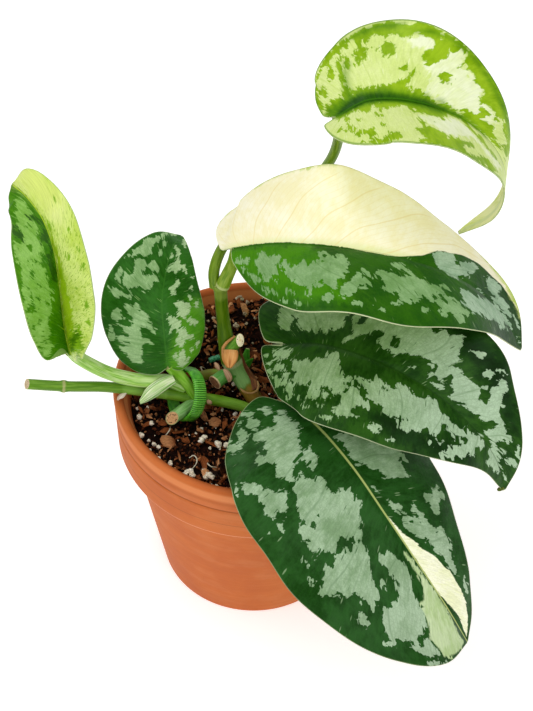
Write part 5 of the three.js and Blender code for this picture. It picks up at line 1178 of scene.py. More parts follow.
def ringFrames(centres, wide=None):
    # directions square to the route, without twist, or with one kept along wide
    tangents = unit(np.gradient(centres, axis=0))
    sides = np.zeros_like(tangents)
    guess = np.array(wide if wide is not None else (0.3, 0.2, 1.0), dtype=float)
    for i, tangent in enumerate(tangents):
        base = guess if wide is not None or i == 0 else sides[i - 1]
        square = base - tangent * (base @ tangent)
        sides[i] = square / np.linalg.norm(square)
    return tangents, sides, np.cross(tangents, sides)


def tubeMesh(route, radii, rings=(), flat=1.0, wide=None, sides=None, step=None, slant=None):
    # slant: which way the cut face at the end looks
    curve = CurvedRoute(route)
    sides = sides or stemLook["sides"]
    count = max(6, int(curve.length / (step or stemLook["step"])))
    places = np.linspace(0, 1, count + 1)
    centres = curve.at(places)
    tangents, across, other = ringFrames(centres, wide)
    swelling = sum((height * np.exp(-((places - place) * curve.length / width) ** 2)
                    for place, height, width in rings), np.zeros(count + 1))
    radius = smoothThrough(radii, places) + swelling
    mesher = bmesh.new()
    bmesh.ops.create_grid(mesher, x_segments=count, y_segments=sides, size=1)
    stemPlan = mesher.verts.layers.float_vector.new("stemPlan")
    for vertex in mesher.verts:
        station = round((vertex.co.x + 1) / 2 * count)
        angle = (vertex.co.y + 1) * math.pi
        outward = across[station] * math.cos(angle) + other[station] * math.sin(angle) * flat
        spot = centres[station] + radius[station] * outward
        if slant:
            near = max(0.0, 1 - (1 - places[station]) * curve.length / stemLook["slantLength"])
            face = unit(np.array(slant))
            lean = (outward @ face) / (tangents[station] @ face)
            spot = spot - tangents[station] * radius[station] * lean * near
        vertex[stemPlan] = (places[station] * curve.length, math.cos(angle) * stemLook["planRadius"],
                            math.sin(angle) * stemLook["planRadius"])
        vertex.co = toRow(spot)
    bmesh.ops.remove_doubles(mesher, verts=mesher.verts, dist=1e-6)
    ends = [edge for edge in mesher.edges if edge.is_boundary]
    for edge in ends:
        edge.smooth = False
    caps = bmesh.ops.holes_fill(mesher, edges=ends, sides=0)["faces"]
    poked = bmesh.ops.poke(mesher, faces=caps)
    for vertex in poked["verts"]:
        vertex[stemPlan] = (vertex.link_edges[0].other_vert(vertex)[stemPlan][0], 0, 0)
    for face in poked["faces"]:
        face.material_index = 1
    bmesh.ops.recalc_face_normals(mesher, faces=mesher.faces)
    return mesher


def joinMeshes(meshers):
    # one mesh, where the faces of each part take the material of the same number
    whole = bmesh.new()
    whole.verts.layers.float_vector.new("stemPlan")
    for index, mesher in enumerate(meshers):
        for face in mesher.faces:
            face.material_index = index
        part = bpy.data.meshes.new("part")
        mesher.to_mesh(part)
        mesher.free()
        whole.from_mesh(part)
        bpy.data.meshes.remove(part)
    return whole


def fibreMaterial(name, colours, fineness=1.0, zones=(), rough=0.34, contrast=0.6, flecks=0.3):
    # zones: start and end in millimetres along the stem, how soft, a colour and its share
    material, shading, surface = newMaterial(name)
    place = shading.attribute("stemPlan", "Vector")
    fibres = useGroup(shading, stemFibres, place=place, fineness=fineness)
    colour = shading.paint(asLinear(colours[0]), colours[1], fibres["stripes"], contrast)
    colour = shading.paint(colour, colours[2], fibres["blotches"], 0.45)
    along = shading.parts(place)["X"]
    wobble = shading.noise(shading.stretch(place, (0.5, 1.0, 1.0)), 0.8, 3.0, 0.6)
    for start, end, soft, tone, share in zones:
        moved = shading.plus(along, shading.times(shading.minus(wobble, 0.5), soft * 3))
        inside = shading.times(shading.ramp(moved, start - soft, start + soft),
                               shading.ramp(moved, end + soft, end - soft))
        inside = shading.times(inside, shading.math("MULTIPLY_ADD", fibres["stripes"], 0.3, 0.7))
        colour = shading.paint(colour, tone, inside, share)
    spots = shading.ramp(shading.noise(shading.stretch(place, (0.9, 1.4, 1.4)), 2.2, 2.0), 0.68, 0.76)
    colour = shading.paint(colour, "5a4a14", spots, flecks)
    worn = shading.ramp(fibres["blotches"], 0.0, 1.0, rough, rough + 0.12)
    dress(shading, surface, colour, worn, 0.25, fibres["height"], 0.3)
    return material


# The flesh of a cut stem, its pores, the ring of bundles, the middle and the skin at its edge, with a painted
# glow on the pale face.
cutLooks = {
    "pale": {"flesh": ("fcf4d8", "f0e0b4"), "pores": "8a5a18", "bundles": 1.0, "middle": "e8cc78",
             "skin": "e6deb0", "paintedGlow": 0.25},
    "green": {"flesh": ("b8bf7c", "9aa85c"), "pores": "6b6a2c", "bundles": 0.3, "middle": "a8b468",
              "skin": "6f8f30"},
    "dark": {"flesh": ("dcb080", "a87444"), "pores": "2a1408", "bundles": 1.2, "middle": "c89a66",
             "skin": "9aa06a"},
    "brown": {"flesh": ("c08a66", "8a4e30"), "pores": "3c1c10", "bundles": 0.8, "middle": "a0664a",
              "skin": "e6c09a"},
    "tan": {"flesh": ("e0d0b0", "b99a70"), "pores": "6a4424", "bundles": 0.5, "middle": "c8a880",
            "skin": "d8cc98"},
}


def cutFaceMaterial(name, kind):
    look = cutLooks[kind]
    material, shading, surface = newMaterial(name)
    place = shading.add("ShaderNodeTexCoord").outputs["Object"]
    plan = shading.parts(shading.attribute("stemPlan", "Vector"))
    out = shading.math("DIVIDE", shading.reach(plan["Y"], plan["Z"]), stemLook["planRadius"])
    grain = shading.noise(place, 900.0, 3.0, 0.6)
    pores = shading.add("ShaderNodeTexVoronoi", {"Vector": place, "Scale": 1300.0}).outputs["Distance"]
    colour = shading.mix(grain, asLinear(look["flesh"][0]), asLinear(look["flesh"][1]))
    colour = shading.paint(colour, look["middle"], shading.ramp(out, 0.35, 0.1, 0.0, 0.6))
    ring = shading.times(shading.ramp(out, 0.4, 0.55), shading.ramp(out, 0.85, 0.72))
    marks = shading.times(shading.ramp(pores, 0.42, 0.2),
                          shading.math("MULTIPLY_ADD", ring, look["bundles"], 0.25))
    colour = shading.paint(colour, look["pores"], marks)
    colour = shading.paint(colour, look["skin"], shading.ramp(out, 0.86, 0.95))
    dress(shading, surface, colour, 0.85, 0.2, shading.plus(grain, pores), 0.6, 0.0004)
    # The cut face glows as far as its look says, the pale one a little: painted light, as it is no lamp.
    shading.feed(surface.inputs["Emission Color"], colour)
    surface.inputs["Emission Strength"].default_value = look.get("paintedGlow", 0.0)
    return material


for name, stem in stems.items():
    mesher = tubeMesh(stem["route"], stem["radii"], stem.get("rings", ()), stem.get("flat", 1.0),
                      stem.get("wide"), sides=stem.get("sides"), slant=stem.get("slant"))
    skin = fibreMaterial(name + "_skin", stem["colours"], stem.get("fineness", 1.0), stem.get("zones", ()),
                         contrast=stem.get("contrast", 0.6), flecks=stem.get("flecks", 0.3))
    face = cutFaceMaterial(name + "_cut", stem.get("cut", "green"))
    finishPiece(name + "_stalk", mesher, [skin, face], name, slot=stem["slot"])
print("stems made")

# Pot. The rim is a little deeper than it is wide.
clayPot = {
    "height": 105.5, "rimRadius": 60, "rimStretch": 0.025, "bandFootRadius": 58.5, "bandFoot": 75,
    "bodyTopRadius": 53.5, "footRadius": 40, "footRound": 1.5, "edge": 0.4, "wall": 5.5, "floor": 7,
    "drainRadius": 7, "sides": 144, "bodySteps": 20, "bandStep": 1.6, "lipSteps": 15, "insideSteps": 12,
    "lipThickness": 4.2, "lipRadius": 2.2, "lipDepth": 7.5,
    "grooveHeight": 92.7, "grooveDepth": 0.4, "faintLineHeight": 83.2,
}


def spinRound(mesher, geometry, steps, near):
    bmesh.ops.spin(mesher, geom=geometry, axis=(0, 0, 1), cent=(0, 0, 0), angle=2 * math.pi, steps=steps,
                   use_merge=True)
    bmesh.ops.remove_doubles(mesher, verts=mesher.verts, dist=near)
    bmesh.ops.recalc_face_normals(mesher, faces=mesher.faces)


def potProfile():
    look = clayPot
    top, foot, wall = look["height"], look["bandFoot"], look["wall"]
    footRadius, footRound, edge = look["footRadius"], look["footRound"], look["edge"]
    drain, floorTop, bodyTop = look["drainRadius"], look["floor"], look["bodyTopRadius"]
    innerFoot = footRadius - wall + 1

    def bandRadius(height):
        share = (height - foot) / (top - foot)
        return look["bandFootRadius"] + (look["rimRadius"] - look["bandFootRadius"]) * share
    points = [(drain, edge), (drain + 0.6, 0), (footRadius - footRound, 0), (footRadius - edge, edge),
              (footRadius, footRound)]
    for share in np.linspace(0, 1, look["bodySteps"])[1:]:
        height = footRound + (foot - 1.6 - footRound) * share
        points.append((footRadius + (bodyTop - footRadius) * share, height))
    points += [(bodyTop + 0.3, foot - 0.5), (bodyTop + 1.4, foot), (look["bandFootRadius"] - 0.9, foot),
               (look["bandFootRadius"] - 0.2, foot + edge), (bandRadius(foot + 1.3), foot + 1.3)]
    for height in np.arange(foot + 3, top - 4, look["bandStep"]):
        if abs(height - look["grooveHeight"]) > 1.4:
            points.append((bandRadius(height), height))
    groove = look["grooveHeight"]
    for shift, depth in ((-0.7, 0), (-0.35, 0.6), (0, 1), (0.35, 0.6), (0.7, 0)):
        points.append((bandRadius(groove) - look["grooveDepth"] * depth, groove + shift))
    points = points[:5] + sorted(points[5:], key=lambda point: point[1])
    halfLip, lipRadius = look["lipThickness"] / 2, look["lipRadius"]
    for angle in np.linspace(0, math.pi, look["lipSteps"]):
        points.append((look["rimRadius"] - halfLip + math.cos(angle) * halfLip,
                       top - lipRadius + math.sin(angle) * lipRadius))
    slope = (look["rimRadius"] - wall - innerFoot) / (top - lipRadius)
    for height in np.linspace(top - look["lipDepth"], floorTop + 2, look["insideSteps"]):
        points.append((innerFoot + slope * height, height))
    return points + [(innerFoot + slope * floorTop - 2, floorTop), (drain + 0.5, floorTop),
                     (drain, floorTop - 0.5)]


mesher = bmesh.new()
rim = [mesher.verts.new((radius, 0, height)) for radius, height in potProfile()]
outline = [mesher.edges.new(pair) for pair in zip(rim, rim[1:] + rim[:1])]
spinRound(mesher, rim + outline, clayPot["sides"], 1e-4)
for vertex in mesher.verts:
    share = (vertex.co.z - clayPot["bandFoot"]) / (clayPot["height"] - clayPot["bandFoot"])
    vertex.co.y *= 1 + clayPot["rimStretch"] * min(max(share, 0), 1)
bmesh.ops.scale(mesher, vec=(millimetre,) * 3, verts=mesher.verts)
bmesh.ops.translate(mesher, vec=potAxis, verts=mesher.verts)

clay, shading, surface = newMaterial("terracotta")
place = shading.add("ShaderNodeTexCoord").outputs["Object"]
spot = shading.parts(place)
level = shading.math("DIVIDE", spot["Z"], millimetre)
mottle = shading.noise(place, 26.0, 4.0, 0.6)
cloud = shading.noise(shading.stretch(place, (1.0, 1.0, 2.2)), 60.0, 3.0, 0.55)
grain = shading.noise(place, 900.0, 3.0, 0.7)
turning = shading.noise(shading.stretch(place, (4.0, 4.0, 420.0)), 1.0, 3.0, 0.5)
colour = shading.mix(shading.ramp(mottle, 0.35, 0.65), asLinear("c06229"), asLinear("cc7037"))
colour = shading.paint(colour, "d0804e", shading.ramp(cloud, 0.45, 0.7), 0.35)
colour = shading.paint(colour, "964419", shading.ramp(grain, 0.62, 0.74), 0.25)
colour = shading.paint(colour, "ad5526", shading.ramp(turning, 0.4, 0.62), 0.12)
# Painted light on the lip: painted shade inside it and on top, a painted highlight on its outer side, and a
# painted shadow in the turn under that.
across = shading.math("DIVIDE", shading.minus(spot["X"], potAxis[0]), millimetre)
deep = shading.math("DIVIDE", shading.minus(spot["Y"], potAxis[1]), millimetre * (1 + clayPot["rimStretch"]))
fromAxis = shading.reach(across, deep)
# painted shade inside the lip and on its top
paintedInnerLipShade = shading.times(shading.ramp(fromAxis, 59.4, 56.4), shading.ramp(level, 92.0, 98.0))
colour = shading.paint(colour, "97461a", paintedInnerLipShade, 0.75)
# painted highlight on the outer side of the lip
paintedLipHighlight = shading.times(shading.ramp(level, 98.6, 100.4), shading.ramp(level, 104.6, 103.0))
colour = shading.paint(colour, "e08a50", paintedLipHighlight, 0.7)
# painted shadow in the turn under the lip
paintedUnderLipShadow = shading.times(shading.ramp(level, 95.6, 97.2), shading.ramp(level, 99.0, 98.0))
colour = shading.paint(colour, "a85018", paintedUnderLipShadow, 0.4)
# Painted shadow in the groove, a faint dark line lower down, and a painted highlight along the edge at the
# band's foot.
for height, width, share, tone in ((clayPot["grooveHeight"], 0.5, 0.4, "5f2c14"),
                                   (clayPot["faintLineHeight"], 0.35, 0.3, "5f2c14"),
                                   (clayPot["bandFoot"] + 0.3, 0.6, 0.6, "f2b896")):
    offLine = shading.math("ABSOLUTE", shading.minus(level, height))
    colour = shading.paint(colour, tone, shading.ramp(offLine, width, width * 0.4), share)
relief = shading.plus(shading.times(grain, 0.5), shading.times(turning, 0.8))
dress(shading, surface, colour, shading.ramp(mottle, 0.3, 0.7, 0.62, 0.78), 0.2, relief, 0.35, 0.0004)
finishPiece("clay_pot", mesher, clay, "pot", slot="terracotta")
print("pot made")

# Potting mix.
mixLook = {
    "level": 96, "waviness": 1.0, "bankHeight": 7, "bankStart": 16, "bankEnd": 48, "wallGap": 0.6, "seed": 7,
    "bottom": 60, "rings": 44, "sides": 120, "sunk": 1.2, "roughness": 0.9, "edgeWidth": 4, "edgeSlope": 0.2,
    "bark": 820, "crumbs": 2600, "smallPerlite": 130, "rootlets": 12,
    "barkLengths": (0.8, 1.0, 1.3, 1.6, 1.9, 2.3, 2.8, 3.6), "barkStretch": (0.85, 1.2),
    "barkWidth": (0.18, 0.62, 2.0), "barkDepth": (0.14, 0.32, 0.9),  # shares of the length, and the most
    "crumbSize": (0.25, 0.8), "smallRadius": (0.3, 0.75), "rootletRadius": 0.24, "rootletStep": 2.0,
    "popped": {"core": 0.78, "lobes": 6, "smallest": 0.6},
}
# Grains that lie on the mix: across, towards the back, and radius.
perlite = [
    (-46.7, -23.7, 1.4), (-43.7, -25.5, 0.8), (-41.5, -27.4, 1.2), (-39.4, -28.9, 1.1), (-48.3, -14.5, 1.4),
    (-43.0, -18.0, 1.2), (-45.4, -8.7, 0.9), (-49.5, -9.5, 0.8), (-42.9, -32.0, 1.0), (-38.8, -36.9, 1.0),
    (-34.1, -38.7, 1.3), (-22.1, -26.6, 1.5), (-20.8, -24.6, 1.3), (-14.8, -27.9, 1.9), (-11.9, -26.5, 1.5),
    (-22.3, -18.9, 0.9), (-27.6, -42.8, 1.5), (-26.1, -41.5, 1.6), (-24.7, -43.7, 1.5), (-26.4, -45.1, 1.3),
    (-19.5, -45.1, 1.3), (-18.2, -44.2, 1.5), (-16.9, -45.4, 1.3), (-16.7, -49.9, 1.2), (-14.7, -49.4, 0.8),
    (-12.9, -51.2, 0.7), (-8.8, -10.6, 1.1), (-14.4, -7.6, 1.0), (-20.3, -41.1, 0.9), (-10.0, 7.0, 1.1),
    (30.0, -20.0, 1.5), (5.0, -34.0, 1.2),
]
# Darker grains at the back.
backPerlite = [
    (-9.2, 51.0, 1.7), (-5.8, 49.2, 1.1), (-21.0, 43.9, 0.8), (-22.4, 39.4, 0.8), (-20.0, 40.0, 1.0),
    (-10.1, 35.9, 1.5), (-5.9, 37.6, 0.8), (-6.8, 41.6, 1.0), (-23.0, 34.8, 0.9), (12.0, 40.0, 1.4),
    (24.0, 30.0, 1.2), (36.0, 8.0, 1.3), (20.0, 20.0, 1.2),
]
roundChips = [(-35.7, -26.8, 3.5, 3.2), (-16.9, -15.3, 2.5, 3.0), (-38.3, -17.5, 2.2, 1.5),
              (-4.2, -13.7, 2.4, 2.0)]
strands = [
    [(-26.5, -34.9), (-24.8, -34.4), (-23.5, -35.7), (-23.4, -37.8), (-25.0, -39.6)],
    [(-35.3, -18.7), (-35.4, -21.3), (-36.8, -22.9)],
    [(-19.2, -35.3), (-19.2, -37.8), (-17.5, -39.8), (-15.2, -38.9)],
    [(-37.1, -41.1), (-34.4, -41.8), (-31.9, -41.7)],
    [(-23.4, -47.0), (-22.1, -48.8)],
]
dice = random.Random(mixLook["seed"])


def mixLevel(x, y):
    share = min(max((y - mixLook["bankStart"]) / (mixLook["bankEnd"] - mixLook["bankStart"]), 0), 1)
    wave = math.sin(x * 0.19) * math.cos(y * 0.23) + 0.5 * math.sin(x * 0.41 + y * 0.37)
    bank = mixLook["bankHeight"] * share * share * (3 - 2 * share)
    return mixLook["level"] + mixLook["waviness"] * wave + bank


def insideRadius(height):
    innerFoot = clayPot["footRadius"] - clayPot["wall"] + 1
    share = min(height / (clayPot["height"] - clayPot["lipRadius"]), 1)
    return innerFoot + (clayPot["rimRadius"] - clayPot["wall"] - innerFoot) * share


def spotOnMix(margin):
    radius = (insideRadius(mixLook["level"]) - margin) * math.sqrt(dice.random())
    angle = 2 * math.pi * dice.random()
    return radius * math.cos(angle), radius * math.sin(angle)


def addGrain(mesher, grainPlan, centre, size, roughness, detail, tilt):
    # one lump, with its own coordinates for its grain
    turn = (Matrix.Rotation(dice.uniform(0, 2 * math.pi), 4, "Z")
            @ Matrix.Rotation(dice.gauss(0, tilt), 4, "X")
            @ Matrix.Rotation(dice.gauss(0, tilt), 4, "Y"))
    lump = bmesh.ops.create_icosphere(mesher, subdivisions=detail, radius=1)["verts"]
    shift = dice.uniform(0, 900)
    for vertex in lump:
        jitter = Vector([dice.uniform(-roughness, roughness) for _ in range(3)])
        body = Vector([(vertex.co[k] + jitter[k]) * size[k] for k in range(3)])
        vertex[grainPlan] = (body.x + shift, body.y, body.z)
        vertex.co = Vector(toRow(Vector(centre) + turn.to_3x3() @ body))


def addPoppedGrain(mesher, grainPlan, centre, radius):
    # a core with smaller lobes on it
    popped = mixLook["popped"]
    core = [radius * popped["core"] * share for share in (1, dice.uniform(0.8, 1), dice.uniform(0.8, 1))]
    addGrain(mesher, grainPlan, centre, core, roughness=0.12, detail=2, tilt=0.6)
    for _ in range(popped["lobes"] if radius > popped["smallest"] else 0):
        heading, rise = dice.uniform(0, 2 * math.pi), dice.uniform(-0.2, 1.2)
        reach = radius * dice.uniform(0.5, 0.7)
        spot = (centre[0] + reach * math.cos(heading) * math.cos(rise),
                centre[1] + reach * math.sin(heading) * math.cos(rise), centre[2] + reach * math.sin(rise))
        lobe = radius * dice.uniform(0.34, 0.55)
        addGrain(mesher, grainPlan, spot, (lobe, lobe, lobe * 0.9), roughness=0.14, detail=2, tilt=0.6)


mesher = bmesh.new()
bed = insideRadius(mixLook["level"]) - mixLook["wallGap"]
first = mesher.verts.new((0.01, 0, mixLook["level"]))
last = first
spokes = []
for step in range(1, mixLook["rings"] + 1):
    point = mesher.verts.new((bed * step / mixLook["rings"], 0, mixLook["level"]))
    spokes.append(mesher.edges.new((last, point)))
    last = point
low = mesher.verts.new((insideRadius(mixLook["bottom"]) - 1, 0, mixLook["bottom"]))
spokes.append(mesher.edges.new((last, low)))
bottom = mesher.verts.new((0.01, 0, mixLook["bottom"]))
spokes.append(mesher.edges.new((low, bottom)))
spinRound(mesher, mesher.verts[:] + spokes, mixLook["sides"], 0.05)
for vertex in mesher.verts:
    if vertex.co.z > mixLook["level"] - 1:
        x, y = vertex.co.x, vertex.co.y
        edgeDrop = max(0, math.hypot(x, y) - bed + mixLook["edgeWidth"]) * mixLook["edgeSlope"]
        rough = dice.uniform(-mixLook["roughness"], mixLook["roughness"])
        vertex.co.z = mixLevel(x, y) - mixLook["sunk"] + rough - edgeDrop
    vertex.co = Vector(toRow(vertex.co))

soil, shading, surface = newMaterial("potting_mix")
place = shading.add("ShaderNodeTexCoord").outputs["Object"]
clods = shading.noise(place, 520.0, 5.0, 0.7)
specks = shading.noise(place, 1500.0, 2.0, 0.6)
# Near black between the clods: the mix's own dark colour, with painted shade of the deep gaps between the
# grains.
colour = shading.mix(shading.ramp(clods, 0.42, 0.68), asLinear("040100"), asLinear("2a1006"))
colour = shading.paint(colour, "7a5232", shading.ramp(specks, 0.66, 0.74), 0.4)
dress(shading, surface, colour, 0.95, 0.1, clods, 0.9, 0.0012)
finishPiece("mix_bed", mesher, soil, "potting_mix", slot="potting_mix")


def grainMaterial(name, tones, rough=0.85, along=(0.35, 2.4, 2.4), pits=None):
    # fibres along each lump, and a tone of its own for each
    material, shading, surface = newMaterial(name)
    place = shading.attribute("grainPlan", "Vector")
    fibres = shading.noise(shading.stretch(place, along), 1.2, 4.0, 0.7)
    own = shading.noise(shading.stretch(place, (1.0, 0.1, 0.1)), 0.045, 1.0)
    tone = shading.mix(shading.ramp(own, 0.38, 0.5), asLinear(tones[0]), asLinear(tones[1]))
    tone = shading.paint(tone, tones[2], shading.ramp(own, 0.52, 0.64))
    colour = shading.mix(1.0, tone, shading.ramp(fibres, 0.3, 0.7, 0.4, 1.6, smooth=False), "MULTIPLY")
    if pits:
        holes = shading.noise(place, 4.5, 2.0, 0.6)
        colour = shading.paint(colour, pits, shading.ramp(holes, 0.44, 0.32), 0.75)
    dress(shading, surface, colour, rough, 0.15, fibres, 0.8, 0.0006)
    return material


def startGrains():
    mesher = bmesh.new()
    return mesher, mesher.verts.layers.float_vector.new("grainPlan")


def barkSize():
    long = dice.choice(mixLook["barkLengths"]) * dice.uniform(*mixLook["barkStretch"])
    return [long] + [min(long * dice.uniform(low, high), most)
                     for low, high, most in (mixLook["barkWidth"], mixLook["barkDepth"])]


mesher, grainPlan = startGrains()
for _ in range(mixLook["bark"]):
    size = barkSize()
    x, y = spotOnMix(0.8 + size[0] * 0.8)
    spot = (x, y, mixLevel(x, y) + dice.uniform(-0.6, 0.9))
    addGrain(mesher, grainPlan, spot, size, roughness=0.34, detail=1, tilt=0.6)
for x, y, long, wide in roundChips:
    spot = (x, y, mixLevel(x, y) + 1.1)
    addGrain(mesher, grainPlan, spot, (long, wide, 0.8), roughness=0.08, detail=2, tilt=0.2)
bark = grainMaterial("bark", ("180802", "80441f", "ca9062"))
finishPiece("bark_chips", mesher, bark, slot="potting_mix", smooth=False)

for _ in range(mixLook["smallPerlite"]):
    x, y = spotOnMix(1.2)
    (perlite if y < 10 else backPerlite).append((x, y, dice.uniform(*mixLook["smallRadius"])))
for name, grains, tones in (("perlite_grains", perlite, ("e6d6bc", "f6ead4", "fff8e8")),
                            ("stained_perlite", backPerlite, ("7c6a54", "a8977c", "c4b69c"))):
    mesher, grainPlan = startGrains()
    for x, y, radius in grains:
        addPoppedGrain(mesher, grainPlan, (x, y, mixLevel(x, y) + radius * 0.7), radius)
    finishPiece(name, mesher, grainMaterial(name, tones, 0.95, (1.4, 1.4, 1.4), "8c7a64"), slot="potting_mix")

mesher, grainPlan = startGrains()
for _ in range(mixLook["crumbs"]):
    x, y = spotOnMix(0.9)
    size = [dice.uniform(*mixLook["crumbSize"]) for _ in range(3)]
    spot = (x, y, mixLevel(x, y) + dice.uniform(-0.9, 0.4))
    addGrain(mesher, grainPlan, spot, size, roughness=0.3, detail=1, tilt=0.8)
crumb = grainMaterial("crumb", ("0a0301", "54260c", "b87c50"))
finishPiece("mix_crumbs", mesher, crumb, slot="potting_mix", smooth=False)

while len(strands) < mixLook["rootlets"]:
    x, y = spotOnMix(10)
    heading = dice.uniform(0, 2 * math.pi)
    strand = []
    for step in range(4):
        strand.append((x, y))
        heading += dice.gauss(0, 0.7)
        x += mixLook["rootletStep"] * math.cos(heading)
        y += mixLook["rootletStep"] * math.sin(heading)
    strands.append(strand)
rootlets = []
for strand in strands:
    route = [(x, y, mixLevel(x, y) + 1.4 + dice.uniform(-0.2, 0.5)) for x, y in strand]
    route[0] = (*strand[0], mixLevel(*strand[0]) + 0.3)
    route[-1] = (*strand[-1], mixLevel(*strand[-1]) + 0.2)
    radii = [mixLook["rootletRadius"] * share for share in (0.9, 1.1, 0.8)]
    rootlets.append(tubeMesh(route, radii, sides=8, step=0.6))
mesher = joinMeshes(rootlets)
for face in mesher.faces:
    face.material_index = 0
rootletSkin = fibreMaterial("rootlet", ("c9bfa4", "efe9da", "b09a74"), rough=0.7)
finishPiece("rootlets", mesher, rootletSkin, slot="potting_mix")
print("potting mix made")

# Small pieces.
plantTie = {
    "centre": (-29.0, -10.3, 108.1), "axis": (-0.82, -0.4, 0.41), "radius": 11.3, "width": 5.4,
    "thickness": 1.3, "ribs": 76, "ribHeight": 0.4, "ribArc": (-80, 15), "ribFade": 0.2, "bevel": 0.25,
    "sides": 608,
}

mesher = bmesh.new()
half, inner, outer = plantTie["width"] / 2, plantTie["radius"] - plantTie["thickness"], plantTie["radius"]
corners = [mesher.verts.new((radius, 0, height)) for radius, height in
           ((inner, -half), (outer - 0.3, -half), (outer, -half * 0.6), (outer, -half / 4), (outer, half / 4),
            (outer, half * 0.6), (outer - 0.3, half), (inner, half))]
edges = [mesher.edges.new(pair) for pair in zip(corners, corners[1:] + corners[:1])]
spinRound(mesher, corners + edges, plantTie["sides"], 1e-4)
tiePlan = mesher.verts.layers.float_vector.new("stemPlan")
turn = Vector((0, 0, 1)).rotation_difference(Vector(plantTie["axis"]).normalized()).to_matrix()
ribFrom, ribTo = [math.radians(end) for end in plantTie["ribArc"]]
ribFade = plantTie["ribFade"]
for vertex in mesher.verts:
    radius = math.hypot(vertex.co.x, vertex.co.y)
    angle = math.atan2(vertex.co.y, vertex.co.x)
    vertex[tiePlan] = (angle * outer, vertex.co.z, radius)
    if radius > (inner + outer) / 2:
        ribbed = min(max((angle - ribFrom) / ribFade, 0), 1) * min(max((ribTo - angle) / ribFade, 0), 1)
        ribbed *= 1 - (abs(vertex.co.z) / half) ** 2
        grown = (radius + plantTie["ribHeight"] * ribbed * math.cos(plantTie["ribs"] * angle)) / radius
        vertex.co.x *= grown
        vertex.co.y *= grown
    vertex.co = Vector(toRow(turn @ vertex.co + Vector(plantTie["centre"])))
strap, shading, surface = newMaterial("tie_strap")
place = shading.attribute("stemPlan", "Vector")
fuzz = shading.noise(place, 2.4, 3.0, 0.6)
clouds = shading.noise(place, 0.35, 2.0, 0.5)
colour = shading.mix(shading.ramp(clouds, 0.38, 0.62), asLinear("2f860e"), asLinear("54ae20"))
along = shading.parts(place)["X"]
# Painted highlight on the rib crests and painted shade in the hollows between them, over the ribbed arc.
paintedRibLight = shading.math("COSINE", shading.times(along, plantTie["ribs"] / outer))
ribbedPart = shading.times(shading.ramp(along, ribFrom * outer, (ribFrom + ribFade) * outer),
                           shading.ramp(along, ribTo * outer, (ribTo - ribFade) * outer))
colour = shading.paint(colour, "7ccc48", ribbedPart, shading.ramp(paintedRibLight, 0.1, 0.8))
colour = shading.paint(colour, "206c0a", ribbedPart, shading.ramp(paintedRibLight, -0.1, -0.8))
colour = shading.paint(colour, "8cd05a", shading.ramp(fuzz, 0.5, 0.7), 0.4)
dress(shading, surface, colour, 0.3, 0.5, fuzz)
tie = finishPiece("tie_strap", mesher, strap, "plant_tie", slot="tie")
soft = tie.modifiers.new("soft edges", "BEVEL")
soft.width = plantTie["bevel"] * millimetre
soft.segments = 2
soft.limit_method = "ANGLE"
soft.angle_limit = math.radians(50)


def dryMaterial(name, colours, rough=0.7):
    material, shading, surface = newMaterial(name)
    place = shading.attribute("stemPlan", "Vector")
    fibres = useGroup(shading, stemFibres, place=place, fineness=1.4)
    colour = shading.mix(fibres["stripes"], asLinear(colours[0]), asLinear(colours[1]))
    colour = shading.paint(colour, colours[2], fibres["blotches"], 0.6)
    dress(shading, surface, colour, rough, 0.25, fibres["height"], 0.7, 0.0006)
    return material


# The dry bud scale is a small cup, open to the front, with a thin collar round the cut stalk.
budCup = {
    "top": (-11.6, 1.0, 123.4), "foot": (-11.7, -3.9, 118.2), "facing": (-0.08, -0.72, 0.69),
    "halfWidths": [2.7, 3.1, 3.0, 2.6, 1.7, 0.6], "sag": 1.6, "thick": 0.45,
    "collar": [(-14.7, 0.4, 121.4), (-14.6, 1.7, 123.6), (-13.2, 3.1, 125.4), (-11.4, 4.2, 126.6),
               (-9.8, 5.0, 127.6)],
    "collarRadii": [0.6, 0.8, 0.75, 0.65, 0.4],
}


def cupMesh(cup, rows=24, columns=24):
    top, foot, facing = [np.array(cup[key], dtype=float) for key in ("top", "foot", "facing")]
    down = foot - top
    facing = unit(facing - down * (facing @ down) / (down @ down))
    across = unit(np.cross(down, facing))
    mesher = bmesh.new()
    bmesh.ops.create_grid(mesher, x_segments=columns, y_segments=rows, size=1)
    cupPlan = mesher.verts.layers.float_vector.new("stemPlan")
    for vertex in mesher.verts:
        u, v = vertex.co.x, (vertex.co.y + 1) / 2
        width = smoothThrough(cup["halfWidths"], v)
        sag = cup["sag"] * (1 - u * u) * math.sin(math.pi * min(0.1 + v * 0.9, 1)) ** 0.7
        spot = top + down * v + across * (u * width) - facing * sag + facing * 0.5 * abs(u) ** 6
        vertex[cupPlan] = (v * 6, u * 3, sag)
        vertex.co = toRow(spot)
    mesher.normal_update()
    if Vector(facing).dot(mesher.faces[:][rows * columns // 2].normal) < 0:
        bmesh.ops.reverse_faces(mesher, faces=mesher.faces)
    bmesh.ops.solidify(mesher, geom=mesher.faces[:], thickness=cup["thick"] * millimetre)
    bmesh.ops.recalc_face_normals(mesher, faces=mesher.faces)
    return mesher


collar = tubeMesh(budCup["collar"], budCup["collarRadii"], flat=0.6, sides=14, step=0.4)
scaleMesh = joinMeshes([cupMesh(budCup), collar])
cupSkin, shading, surface = newMaterial("dry_bud_scale")
plan = shading.attribute("stemPlan", "Vector")
across = shading.parts(plan)
fibres = shading.noise(shading.stretch(plan, (0.12, 1.0, 0.2)), 2.6, 3.0, 0.6)
colour = shading.mix(shading.ramp(fibres, 0.25, 0.75), asLinear("d8934a"), asLinear("edb878"))
offMiddle = shading.math("ABSOLUTE", across["Y"])
